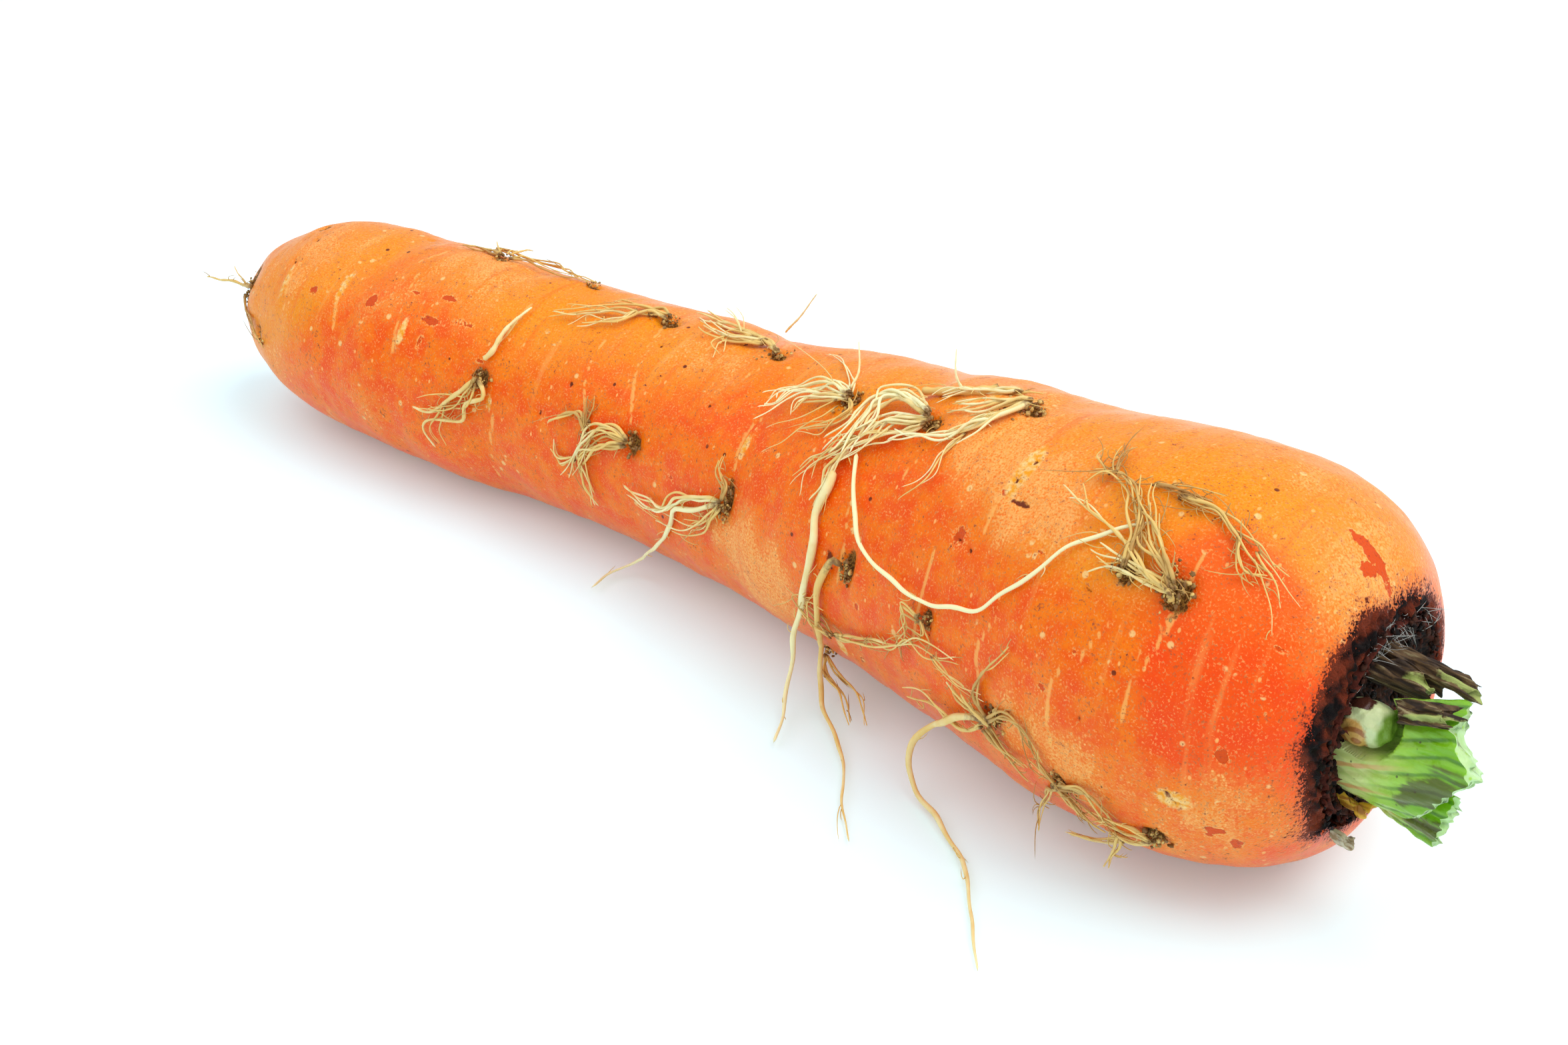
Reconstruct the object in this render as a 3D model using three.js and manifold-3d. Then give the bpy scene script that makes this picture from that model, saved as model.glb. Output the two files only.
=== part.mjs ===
// A fresh carrot lying on its side: one thick taproot, the crown with its cut leaf stalks and dry
// leaf bases, and the fine side roots that still cling to the skin.
//
// Millimetres, +Z up. X runs along the root from its blunt tip to its crown. The underside is
// slightly flattened where the root lies on the plane z = 0, and the origin is on that strip.
//
// Places on the skin are given as [station, angle, lift]: the station along X, the angle in degrees
// round the root (0 faces +Y, 90 is the top, 180 faces -Y, 270 is the underside), and the height
// above the skin.

import * as THREE from 'three';
import { mergeVertices } from 'three/addons/utils/BufferGeometryUtils.js';
import Module from 'manifold-3d';

const wasm = await Module();
wasm.setup();

// ---- Driving dimensions: the taproot ---------------------------------------------------------

const TIP = -95;                 // station of the blunt tip
const RIM = 95;                  // station of the rim round the crown
const TIP_ROUNDING = 26.5;       // length over which the tip rounds off
const SHOULDER_ROUNDING = 18;    // length over which the shoulder rounds in to the rim
const RIM_RADIUS = 12.2;
const ROOT_SIDES = 40;
const BARREL_STEP = 5;           // spacing of the sections between tip and shoulder
const ROUNDING_STEPS = 6;        // sections in each rounded end

// Knots along the root, each [station, value].
const GIRTH = [[-95, 14.5], [-70, 15.5], [-45, 16], [-20, 16.1], [5, 17], [30, 19.5], [55, 21.8],
  [75, 23.4], [95, 22.6]];
const MIDLINE_Y = [[-95, -6.1], [-55, -4], [-15, 0.4], [25, -1.3], [65, -6.1], [95, -6.1]];
const MIDLINE_Z = [[-95, 15.1], [-70, 15.2], [-45, 15.7], [-20, 15.8], [5, 16.7], [30, 19.2],
  [55, 21.5], [75, 23.1], [95, 22.3]];
const SWELL = { oval: 0.010, threefold: 0.008 };   // unevenness of the girth, as parts of it

// The hollow inside the rim, and the corky scar that fills its floor: [radius, station].
const HOLLOW = [[11.9, 93.8], [11.4, 92], [9.8, 90.1], [0, 89.6]];
const SCAR = [[0, 90.1], [9.4, 90.7], [10.8, 92.3], [11.3, 94.3], [10.9, 95.3], [10.3, 94],
  [9.4, 92.9], [0, 92.6]];
const SCAR_SIDES = 28;

// ---- Driving dimensions: what grows from the crown -------------------------------------------

const CROWN_CENTRE = { y: -6.1, z: 22.3 };
const STALK_TWIST = 33;          // degrees that the green stalks turn between base and cut
const STALK_RUN = 12;            // length over which they turn
const BUD = { station: 96.8, angle: 152, reach: 6.9, length: 3, girth: 2.5 };
const BUD_CLEARANCE = 0.4;

// Crescent sections round a centre [y, z]. from and to are angles at the cut end, and cut is the
// ragged end as [angle, station].
const STALKS = {
  leaf_stalk_main: {
    centre: [0, 0], outer: 9, from: 109, to: 207, edge: 0.9, thick: 4.8, base: 93.6, foot: 0.93,
    twist: STALK_TWIST, cut: [[109, 105.4], [133, 105.7], [154, 108], [163, 108.6], [207, 103.4]],
  },
  leaf_stalk_under: {
    centre: [0.5, -6.5], outer: 6.8, from: 138, to: 195, edge: 0.7, thick: 2.6, base: 94.3,
    foot: 0.92, twist: STALK_TWIST, cut: [[138, 106.6], [170, 105.9], [195, 105.1]],
  },
  dry_stalk_top: {
    centre: [0, 0], outer: 9.2, from: 84, to: 98, edge: 0.8, thick: 1.5, base: 94.4, foot: 1,
    twist: 0, cut: [[84, 104.6], [98, 105.6]],
  },
  dry_stalk_stub: {
    centre: [0, 0], outer: 8.8, from: 102, to: 115, edge: 1.6, thick: 3.2, base: 93.8, foot: 1,
    twist: 0, cut: [[102, 101], [115, 100.2]],
  },
  dry_stalk_side: {
    centre: [0, 0], outer: 11, from: 117, to: 131, edge: 0.7, thick: 1.2, base: 95.9, foot: 0.95,
    twist: 20, cut: [[117, 105], [131, 104.2]],
  },
  papery_scale: {
    centre: [0, 0], outer: 10.1, from: 224, to: 238, edge: 0.4, thick: 0.6, base: 94.4,
    foot: 0.95, twist: 0, cut: [[224, 96.6], [231, 97.6], [238, 96.8]],
  },
  clear_scale: {
    centre: [0, 0], outer: 13.9, from: 226, to: 238, edge: 0.4, thick: 0.6, base: 95.5,
    foot: 0.96, twist: 0, cut: [[226, 97.2], [232, 97.9], [238, 97]],
  },
};
const STALK_ARC_STEPS = 8;
const STALK_LENGTH_STEPS = 5;

// ---- Driving dimensions: the rootlets --------------------------------------------------------

const FINE = 0.4;                // radius of an ordinary rootlet
const STOUT = 0.52;              // radius of the few thicker ones
const LIFT = 0.95;               // height of a rootlet's middle above the skin
const KNOT_GAP = 0.4;            // gap under a knot
const STRAND_SIDES = 5;
const STRAND_STEP = 3;           // spacing of a rootlet's sections

// Each tuft holds its knots, as [station, angle, radius], and its strands, as lists of places:
// [station, angle, lift] on the skin, or { x, y, z } where a strand leaves it.
const TUFTS = {
  rootlet_tip_trailing: {
    strands: [[[-87, 149], [-91, 153, 1.2], { x: -94.5, y: -14, z: 19 },
      { x: -98, y: -13.6, z: 18.2 }, { x: -102, y: -13.2, z: 17.3 }]],
  },
  rootlet_tip_clinging: {
    strands: [[[-90.5, 161], [-88, 168], [-85, 170], [-82, 177], [-80, 182]]],
  },
  rootlet_back: {
    knots: [[-47, 79, 1]],
    strands: [
      [[-47, 79], [-51, 67], [-48, 62], [-43, 62], [-38, 70], [-34, 78], [-31, 78]],
      [[-47, 79], [-51, 74], [-53.5, 76]],
    ],
  },
  rootlet_flank_pale: {
    radius: STOUT,
    strands: [[[-35, 145], [-34, 139], [-34, 127], [-33, 112]]],
  },
  rootlets_flank_forked: {
    knots: [[-35, 154, 1.1]],
    strands: [
      [[-35, 154], [-38, 166], [-42, 178], [-46, 179]],
      [[-35, 154], [-33, 162], [-36, 168], [-37, 178], [-42, 182], [-44, 189], [-43, 200]],
    ],
  },
  rootlets_waist: {
    knots: [[-7, 159, 1.2], [-15, 162, 0.9]],
    strands: [
      [[-15, 162], [-17, 154], [-20, 160], [-22, 163]],
      [[-7, 158], [-11, 156], [-14, 161], [-16, 174], [-18, 184]],
      [[-7, 160], [-12, 166], [-15, 173], [-14, 183], [-13, 197]],
      [[-16, 175], [-19, 179], [-20, 171]],
    ],
  },
  rootlets_ridge_left: {
    knots: [[-14, 91, 1]],
    strands: [
      [[-14, 91], [-17, 91], [-20, 96], [-23, 97], [-26, 106], [-29, 110]],
      [[-19, 94], [-20, 105], [-23, 111], [-26, 115]],
    ],
  },
  rootlets_ridge_right: {
    knots: [[6, 93, 1]],
    strands: [
      [[6, 93], [4, 89], [-1, 84], [-7, 81], [-10, 79.5], [-12.5, 79]],
      [[2, 87], [-2, 92], [-6, 90], [-9, 88]],
    ],
  },
  rootlet_hair_back: {
    strands: [[[-1, 62], { x: 1, y: 9.7, z: 34.9 }, { x: 2, y: 10.2, z: 36.4 },
      { x: 3, y: 10.5, z: 37.7 }]],
  },
  rootlets_hip: {
    knots: [[12, 165, 1.1]],
    strands: [
      [[12, 165], [12, 160], [10, 155], [10, 149]],
      [[12, 165], [8, 167], [3, 173], [1, 179], [-3, 181], [-7, 179]],
      [[12, 167], [9, 179], [5, 185], [0, 188]],
      [[12, 166], [7, 174], [3, 178], [2, 187], [-1, 201], [-5, 214, 1.4],
        { x: -9.4, y: -12.9, z: 2.2 }, { x: -11.3, y: -16.1, z: 1.1 },
        { x: -10.4, y: -19.8, z: 1.1 }],
    ],
  },
  rootlets_mat_left: {
    knots: [[24, 110, 1.2]],
    strands: [
      [[24, 110], [21, 108], [19, 109], [16, 113], [14, 118], [13, 123]],
      [[24, 111], [21, 113], [18, 117], [17, 123]],
      [[24, 111], [26, 118], [24, 125], [20, 129]],
      [[24, 110], [21, 101], [16, 90], [12, 85]],
      [[24, 109, 1.4], { x: 23.4, y: -6, z: 38.9 }, { x: 21.4, y: -3.8, z: 41.5 }],
    ],
  },
  rootlets_mat_upper: {
    radius: STOUT,
    strands: [
      [[42, 88], [40, 93], [36, 97], [33, 100]],
      [[38.5, 95], { x: 37.4, y: -5, z: 42.6 }, { x: 36.5, y: -4.1, z: 45.5 }],
    ],
  },
  rootlets_mat_middle: {
    knots: [[38, 112, 1.2]],
    strands: [
      [[38, 111], [32, 105.5], [29, 109], [29, 117], [29, 127], [28.5, 133]],
      [[38, 112], [33, 117], [31, 124], [29, 130]],
    ],
  },
  rootlets_mat_right: {
    knots: [[48.5, 92, 1.2]],
    strands: [
      [[48, 92], [46, 95], [43, 101], [40.5, 104]],
      [[48, 92], [47, 100], [45.5, 107], [43, 115]],
      [[48, 93], [46.5, 103], [45, 110], [42, 117], [37.5, 122], [35, 125]],
    ],
  },
  rootlet_long: {
    radius: STOUT,
    strands: [[[29, 139], [29.5, 145], [29, 155], [30, 165], [29.3, 180], [28, 191],
      { x: 26.6, y: -21, z: 10.5 }, { x: 26.2, y: -20.9, z: 6 }, { x: 27.2, y: -23, z: 2.6 },
      { x: 31, y: -29.6, z: 1.1 }]],
  },
  rootlet_loop: {
    strands: [[[32.5, 139], [35, 150], [38, 159], [44, 164], [50, 165], [54, 163], [57, 161],
      [60, 154], [63, 146], [65, 139]]],
  },
  rootlet_hooked: {
    knots: [[35.5, 168, 1]],
    strands: [[[35.5, 168], [34, 167], [32.3, 174], [31.3, 182], [30.5, 199], [29, 212],
      { x: 29, y: -19, z: 4.2 }, { x: 31, y: -21, z: 1.8 }, { x: 36.6, y: -24.4, z: 1.1 },
      { x: 40.7, y: -28.3, z: 1.1 }, { x: 44.2, y: -32.6, z: 1.1 }, { x: 49.5, y: -37.6, z: 1.1 }]],
  },
  rootlets_net: {
    knots: [[49.5, 171, 0.9]],
    strands: [
      [[33.5, 197], [37, 193], [42, 188], [46, 184], [49, 179], [52, 180], [56, 178]],
      [[49.5, 171], [46.5, 170], [47.5, 176], [46, 184]],
    ],
  },
  rootlets_fan: {
    knots: [[79.5, 137, 1.2], [73.5, 136, 1]],
    strands: [
      [[73.5, 136], [73, 127], [71, 120], [69, 115], [66, 113], [63.5, 115]],
      [[79, 136], [77, 132], [74, 127], [72.3, 122]],
      [[79.5, 138], [76, 135], [73.5, 132], [71, 129.5], [67, 125], [63, 121]],
      [[79.5, 137], [76, 136.5], [73, 136], [69.5, 136]],
    ],
  },
  rootlet_fan_branch: {
    knots: [[74.5, 113, 0.9]],
    strands: [
      [[74.5, 113], [77, 113.5], [79, 114], [82, 117], [84, 119], [86.5, 121]],
      [[82, 117], [84, 125], [86.5, 125]],
    ],
  },
  rootlets_star: {
    knots: [[61, 192, 1.2]],
    strands: [
      [[61, 192], [59, 186], [59.5, 179], [62, 173], [63.5, 168]],
      [[61, 192], [57.5, 189], [55, 185.5]],
      [[61, 191], [63, 187], [66, 188], [68, 194]],
      [[61, 193], [58, 194], [54, 201, 1.3], { x: 49.8, y: -24.6, z: 9.2 },
        { x: 48.1, y: -25, z: 6.6 }, { x: 48.4, y: -25.7, z: 4 }, { x: 50.3, y: -26.6, z: 1.7 },
        { x: 54.3, y: -28.1, z: 1.1 }, { x: 58, y: -30.3, z: 1.1 }, { x: 61.7, y: -32.4, z: 1.1 },
        { x: 66.8, y: -37.8, z: 1.1 }, { x: 70.5, y: -42.1, z: 1.1 }, { x: 73, y: -45, z: 1.1 }],
      [[60, 195], [56, 201.5], [51.5, 198], [47, 204]],
    ],
  },
  rootlets_belly: {
    knots: [[27.5, 223, 0.9]],
    strands: [
      [[27.5, 223], { x: 29, y: -17.8, z: 4.2 }, { x: 33, y: -19.6, z: 3.2 },
        { x: 36, y: -21.7, z: 2 }],
      [[27.5, 223], { x: 31, y: -17.4, z: 4.2 }, { x: 35.2, y: -18.6, z: 3.8 },
        { x: 38, y: -21.2, z: 2.4 }],
    ],
  },
  rootlets_shoulder_left: {
    knots: [[70, 204, 1.1]],
    strands: [
      [[70, 204], [74, 199], [76, 204], [76, 210]],
      [[70, 205], [67.5, 209], { x: 65.4, y: -24, z: 5 }, { x: 66, y: -25, z: 3.4 }],
    ],
  },
  rootlets_shoulder_right: {
    knots: [[81, 212, 1]],
    strands: [
      [[81, 212], [79, 216], [76.5, 218], { x: 74, y: -23, z: 5 }, { x: 69.5, y: -24.2, z: 4.3 }],
      [[77, 217.5], { x: 75, y: -23.9, z: 4.2 }, { x: 75.2, y: -24.8, z: 3.2 }],
    ],
  },
};
const SKIN_STEP = { station: 3, angle: 8 };        // spacing of the places filled in on the skin

// ---- Finishes --------------------------------------------------------------------------------

const finish = (color, roughness) =>
  new THREE.MeshStandardMaterial({ color, roughness, metalness: 0 });

const FINISHES = {
  skin: finish(0xe6702a, 0.5),
  cork: finish(0x2b1a12, 0.95),
  greenStalk: finish(0xa3cf62, 0.45),
  dryStalk: finish(0x5a452c, 0.85),
  budScale: finish(0xd9dfa8, 0.5),
  paperyScale: finish(0xc99a35, 0.7),
  rootlet: finish(0xe3d3a0, 0.75),
};
const STALK_FINISHES = {
  leaf_stalk_main: FINISHES.greenStalk,
  leaf_stalk_under: FINISHES.greenStalk,
  papery_scale: FINISHES.paperyScale,
  clear_scale: FINISHES.paperyScale,
};

// ---- The form of the root --------------------------------------------------------------------

// The value between knots: cubic Hermite pieces whose slope at a knot is the chord of its
// neighbours.
function between(knots, station) {
  const last = knots.length - 1;
  const slope = (k) => {
    const [x0, y0] = knots[Math.max(k - 1, 0)];
    const [x1, y1] = knots[Math.min(k + 1, last)];
    return (y1 - y0) / (x1 - x0);
  };
  let i = 0;
  while (i < last - 1 && station >= knots[i + 1][0]) i += 1;
  const [x0, y0] = knots[i];
  const [x1, y1] = knots[i + 1];
  const t = (station - x0) / (x1 - x0);
  const rise = (x1 - x0) * (t ** 3 - 2 * t ** 2 + t) * slope(i)
    + (x1 - x0) * (t ** 3 - t ** 2) * slope(i + 1);
  return y0 + (y1 - y0) * (3 * t ** 2 - 2 * t ** 3) + rise;
}

// A quarter of an ellipse: 0 at the end of a rounding, 1 where the rounding meets the barrel.
const rounding = (share) => Math.sqrt(1 - (1 - THREE.MathUtils.clamp(share, 0, 1)) ** 2);

// The radius of the skin at a station.
function skinRadius(station) {
  const girth = between(GIRTH, station);
  if (station < 0) return girth * rounding((station - TIP) / TIP_ROUNDING);
  return RIM_RADIUS + (girth - RIM_RADIUS) * rounding((RIM - station) / SHOULDER_ROUNDING);
}

// The place at an angle and radius round the midline. The girth swells unevenly over the upper
// side, and whatever would lie below z = 0 is flattened onto it.
function around(station, angle, radius) {
  const turn = THREE.MathUtils.degToRad(angle);
  const upper = (1 + Math.sin(turn)) / 2;
  const swell = SWELL.oval * Math.sin(2 * turn + 0.7 + station / 40)
    + SWELL.threefold * Math.sin(3 * turn - station / 17);
  const reach = radius * (1 + upper * swell);
  return new THREE.Vector3(
    station,
    between(MIDLINE_Y, station) + reach * Math.cos(turn),
    Math.max(0, between(MIDLINE_Z, station) + reach * Math.sin(turn)),
  );
}

// The place at a height above the skin, measured square to it.
function onSkin([station, angle, lift = LIFT]) {
  const small = 0.01;
  const here = around(station, angle, skinRadius(station));
  const along = around(station + small, angle, skinRadius(station + small)).sub(here);
  const across = around(station, angle + small, skinRadius(station)).sub(here);
  return here.addScaledVector(across.cross(along).normalize(), lift);
}

// ---- Solids ----------------------------------------------------------------------------------

// A closed three.js geometry as a solid: shared corners merged and collapsed faces left out.
function solid(geometry) {
  const bare = new THREE.BufferGeometry();
  bare.setAttribute('position', geometry.attributes.position);
  bare.setIndex(geometry.index);
  const merged = mergeVertices(bare, 1e-4);
  const corners = merged.index.array;
  const faces = [];
  for (let i = 0; i < corners.length; i += 3) {
    const [a, b, c] = corners.slice(i, i + 3);
    if (a !== b && b !== c && c !== a) faces.push(a, b, c);
  }
  return new wasm.Manifold(new wasm.Mesh({
    numProp: 3,
    vertProperties: merged.attributes.position.array,
    triVerts: new Uint32Array(faces),
  }));
}

// A solid as a named mesh.
function named(name, body, material) {
  const { vertProperties, triVerts } = body.getMesh();
  const geometry = new THREE.BufferGeometry();
  geometry.setAttribute('position', new THREE.BufferAttribute(vertProperties, 3));
  geometry.setIndex(new THREE.BufferAttribute(triVerts, 1));
  geometry.computeVertexNormals();
  const mesh = new THREE.Mesh(geometry, material);
  mesh.name = name;
  return mesh;
}

// Moves every corner of a geometry to where place(corner) says.
function reshape(geometry, place) {
  const position = geometry.attributes.position;
  const corner = new THREE.Vector3();
  for (let i = 0; i < position.count; i += 1) {
    const moved = place(corner.fromBufferAttribute(position, i));
    position.setXYZ(i, moved.x, moved.y, moved.z);
  }
  return geometry;
}

// A turned shape whose profile is [radius, station], with its axis along X.
function turned(profile, sides, place) {
  const lathe = new THREE.LatheGeometry(profile.map(([r, x]) => new THREE.Vector2(r, x)), sides);
  return solid(reshape(lathe, ({ x, y, z }) => place(y, z, x)));
}

function taproot() {
  const profile = [];
  for (let i = 0; i < ROUNDING_STEPS; i += 1) {
    const turn = (i / ROUNDING_STEPS) * (Math.PI / 2);
    const station = TIP + TIP_ROUNDING * (1 - Math.cos(turn));
    profile.push([skinRadius(station), station]);
  }
  const barrelStart = TIP + TIP_ROUNDING;
  const barrelEnd = RIM - SHOULDER_ROUNDING;
  const barrelSteps = Math.round((barrelEnd - barrelStart) / BARREL_STEP);
  for (let i = 0; i < barrelSteps; i += 1) {
    const station = THREE.MathUtils.lerp(barrelStart, barrelEnd, i / barrelSteps);
    profile.push([skinRadius(station), station]);
  }
  for (let i = ROUNDING_STEPS; i >= 0; i -= 1) {
    const turn = (i / ROUNDING_STEPS) * (Math.PI / 2);
    const station = RIM - SHOULDER_ROUNDING * (1 - Math.cos(turn));
    profile.push([skinRadius(station), station]);
  }
  profile.push(...HOLLOW);
  return turned(profile, ROOT_SIDES, (station, side, rise) =>
    around(station, THREE.MathUtils.radToDeg(Math.atan2(rise, side)), Math.hypot(side, rise)));
}

function crownScar() {
  return turned(SCAR, SCAR_SIDES, (station, side, rise) => new THREE.Vector3(station, side, rise));
}

// ---- What grows from the crown, in coordinates round the crown's centre ----------------------

// A crescent section carried from its base to a ragged cut. It turns about the crown's axis by
// twist on the way, and its foot is drawn in by the factor foot.
function stalk({ centre, outer, from, to, edge, thick, base, foot, twist, cut }) {
  const rim = [];
  const inside = [];
  for (let i = 0; i <= STALK_ARC_STEPS; i += 1) {
    const share = i / STALK_ARC_STEPS;
    const angle = THREE.MathUtils.degToRad(THREE.MathUtils.lerp(from, to, share));
    const depth = edge + (thick - edge) * Math.sin(Math.PI * share);
    const point = (r) => new THREE.Vector2(
      centre[0] + r * Math.cos(angle),
      centre[1] + r * Math.sin(angle),
    );
    rim.push(point(outer));
    inside.unshift(point(outer - depth));
  }
  const section = new THREE.Shape([...rim, ...inside]);
  const bar = new THREE.ExtrudeGeometry(section, {
    depth: 1,
    steps: STALK_LENGTH_STEPS,
    bevelEnabled: false,
  });
  return solid(reshape(bar, ({ x: side, y: rise, z: share }) => {
    const bearing = Math.atan2(rise - centre[1], side - centre[0]);
    const degrees = (THREE.MathUtils.radToDeg(bearing) + 360) % 360;
    const station = THREE.MathUtils.lerp(base, between(cut, degrees), share);
    const way = THREE.MathUtils.clamp((station - base) / STALK_RUN, 0, 1);
    const turn = THREE.MathUtils.degToRad(twist) * (1 - way);
    const scale = foot + (1 - foot) * way;
    return new THREE.Vector3(
      station,
      scale * (side * Math.cos(turn) - rise * Math.sin(turn)),
      scale * (side * Math.sin(turn) + rise * Math.cos(turn)),
    );
  }));
}

// The young leaf bud in the fork of the main stalk, grown by margin on every side.
function bud(margin) {
  const turn = THREE.MathUtils.degToRad(BUD.angle);
  const form = new THREE.SphereGeometry(1, 16, 12);
  form.scale(BUD.length + margin, BUD.girth + margin, BUD.girth + margin);
  form.translate(BUD.station, BUD.reach * Math.cos(turn), BUD.reach * Math.sin(turn));
  return solid(form);
}

// ---- Rootlets --------------------------------------------------------------------------------

// A strand's places in space: its places on the skin are joined smoothly over the skin, and its
// free places follow.
function routePoints(route) {
  const onRoot = route.filter(Array.isArray);
  const free = route.filter((place) => !Array.isArray(place));
  const points = [];
  if (onRoot.length > 1) {
    const chart = new THREE.CatmullRomCurve3(
      onRoot.map(([station, angle, lift = LIFT]) => new THREE.Vector3(station, angle, lift)),
      false,
      'centripetal',
    );
    let steps = 0;
    for (let i = 1; i < onRoot.length; i += 1) {
      const run = Math.abs(onRoot[i][0] - onRoot[i - 1][0]) / SKIN_STEP.station;
      const swing = Math.abs(onRoot[i][1] - onRoot[i - 1][1]) / SKIN_STEP.angle;
      steps += Math.ceil(Math.max(run, swing));
    }
    for (const { x, y, z } of chart.getPoints(steps)) points.push(onSkin([x, y, z]));
  } else {
    points.push(onSkin(onRoot[0]));
  }
  for (const { x, y, z } of free) points.push(new THREE.Vector3(x, y, z));
  return points;
}

function strand(route, radius) {
  const path = new THREE.CatmullRomCurve3(routePoints(route), false, 'centripetal');
  const corners = [];
  for (let i = 0; i < STRAND_SIDES; i += 1) {
    const turn = (i / STRAND_SIDES) * 2 * Math.PI;
    corners.push(new THREE.Vector2(radius * Math.cos(turn), radius * Math.sin(turn)));
  }
  return solid(new THREE.ExtrudeGeometry(new THREE.Shape(corners), {
    extrudePath: path,
    steps: Math.max(3, Math.round(path.getLength() / STRAND_STEP)),
  }));
}

function knot([station, angle, radius]) {
  const ball = new THREE.IcosahedronGeometry(radius, 0);
  const middle = onSkin([station, angle, radius + KNOT_GAP]);
  return solid(ball.translate(middle.x, middle.y, middle.z));
}

// One tuft: all its strands and knots, joined.
function tuft({ knots = [], strands, radius = FINE }) {
  return [...knots.map(knot), ...strands.map((route) => strand(route, radius))]
    .reduce((whole, piece) => whole.add(piece));
}

// ---- The carrot ------------------------------------------------------------------------------

const carrot = new THREE.Group();
carrot.add(named('taproot', taproot(), FINISHES.skin));

const crown = new THREE.Group();
crown.position.set(0, CROWN_CENTRE.y, CROWN_CENTRE.z);
crown.add(named('crown_scar', crownScar(), FINISHES.cork));
crown.add(named('leaf_bud', bud(0), FINISHES.budScale));
for (const [name, form] of Object.entries(STALKS)) {
  const body = stalk(form).subtract(bud(BUD_CLEARANCE));
  crown.add(named(name, body, STALK_FINISHES[name] ?? FINISHES.dryStalk));
}
carrot.add(crown);

for (const [name, form] of Object.entries(TUFTS)) {
  carrot.add(named(name, tuft(form), FINISHES.rootlet));
}

export default carrot;
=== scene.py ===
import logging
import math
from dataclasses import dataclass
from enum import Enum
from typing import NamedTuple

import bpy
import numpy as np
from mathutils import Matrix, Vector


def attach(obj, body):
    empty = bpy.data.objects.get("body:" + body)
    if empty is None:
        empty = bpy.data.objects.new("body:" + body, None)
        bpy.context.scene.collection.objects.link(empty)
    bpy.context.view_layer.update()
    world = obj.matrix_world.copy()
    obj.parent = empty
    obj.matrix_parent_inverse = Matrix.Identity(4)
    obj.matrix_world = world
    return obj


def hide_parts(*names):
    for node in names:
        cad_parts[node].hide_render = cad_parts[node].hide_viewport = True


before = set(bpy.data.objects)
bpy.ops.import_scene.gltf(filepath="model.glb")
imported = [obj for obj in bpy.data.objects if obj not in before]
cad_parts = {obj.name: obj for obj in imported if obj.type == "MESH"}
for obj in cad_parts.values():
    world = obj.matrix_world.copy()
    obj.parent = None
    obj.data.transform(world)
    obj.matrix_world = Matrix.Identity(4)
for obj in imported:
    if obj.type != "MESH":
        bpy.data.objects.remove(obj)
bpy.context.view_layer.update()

# A fresh carrot lying on its side: the taproot, the corky scar and cut leaf stalks of its crown,
# and the fine side roots that cling to its skin.
#
# Shapes are worked out in millimetres in the frame of the CAD model, and scaled to metres when they
# become meshes. A place on the skin is (station, angle, lift): the station along X, the angle in
# degrees round the root (0 faces +Y, 90 is the top, 180 faces -Y, 270 is the underside), and the
# height above the skin.

LOG = logging.getLogger("carrot")
MM = 0.001
BODY = "root"
Knots = tuple[tuple[float, float], ...]
Place = tuple[float, ...]
Socket = bpy.types.NodeSocket
CROWN_AXIS = (-6.1, 22.3)


class Slot(Enum):
    """The record's material slots."""

    SKIN = "root_skin"
    CORK = "cork"
    GREEN = "green_stalk"
    BUD = "bud_scale"
    DRY = "dry_stalk"
    PAPER = "papery_scale"
    ROOTLET = "rootlet"


# ---- Numbers worked out as whole arrays -------------------------------------------------------


def smooth(low: float, high: float, value: np.ndarray) -> np.ndarray:
    """A smooth step.

    Args:
        low: where the step starts, at 0.
        high: where it ends, at 1.
        value: the numbers to judge.

    Returns:
        t * t * (3 - 2 t), where t is the share of the way from low to high.
    """
    t = np.clip((value - low) / (high - low), 0, 1)
    return t * t * (3 - 2 * t)


def between(knots: Knots, station: np.ndarray) -> np.ndarray:
    """The value between knots.

    Args:
        knots: (station, value) pairs in order of station.
        station: where the value is wanted.

    Returns:
        Cubic Hermite pieces whose slope at a knot is the chord of its neighbours.
    """
    x, y = np.array(knots, float).T
    before = np.r_[0, np.arange(len(x) - 1)]
    after = np.r_[np.arange(1, len(x)), len(x) - 1]
    slope = (y[after] - y[before]) / (x[after] - x[before])
    i = np.clip(np.searchsorted(x, station, side="right") - 1, 0, len(x) - 2)
    gap = x[i + 1] - x[i]
    t = (station - x[i]) / gap
    rise = gap * ((t**3 - 2 * t**2 + t) * slope[i] + (t**3 - t**2) * slope[i + 1])
    return y[i] + (y[i + 1] - y[i]) * (3 * t**2 - 2 * t**3) + rise


def unit(vectors: np.ndarray) -> np.ndarray:
    """Vectors on the last axis, each scaled to length 1."""
    return vectors / np.maximum(np.linalg.norm(vectors, axis=-1, keepdims=True), 1e-9)


class Grain:
    """Smooth seeded noise over any number of coordinates: a sum of sine waves in random directions."""

    def __init__(self, seed: int, size: float, waves: int = 28) -> None:
        """Draws the waves.

        Args:
            seed: the draw's seed.
            size: the length of a typical wave.
            waves: how many waves are summed.
        """
        draw = np.random.default_rng(seed)
        self.turns = unit(draw.normal(size=(waves, 3))) * 2 * math.pi / size
        self.turns *= draw.uniform(0.6, 1.6, (waves, 1))
        self.phase = draw.uniform(0, 2 * math.pi, waves)

    def at(self, points: np.ndarray) -> np.ndarray:
        """The noise at points.

        Args:
            points: coordinates, three on the last axis.

        Returns:
            Values around 0, mostly between -1 and 1.
        """
        total = np.zeros(points.shape[:-1])
        for turn, phase in zip(self.turns, self.phase):
            total += np.sin(points @ turn + phase)
        return total / math.sqrt(len(self.phase) / 2) / 1.4


# ---- The form of the root ---------------------------------------------------------------------


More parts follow.
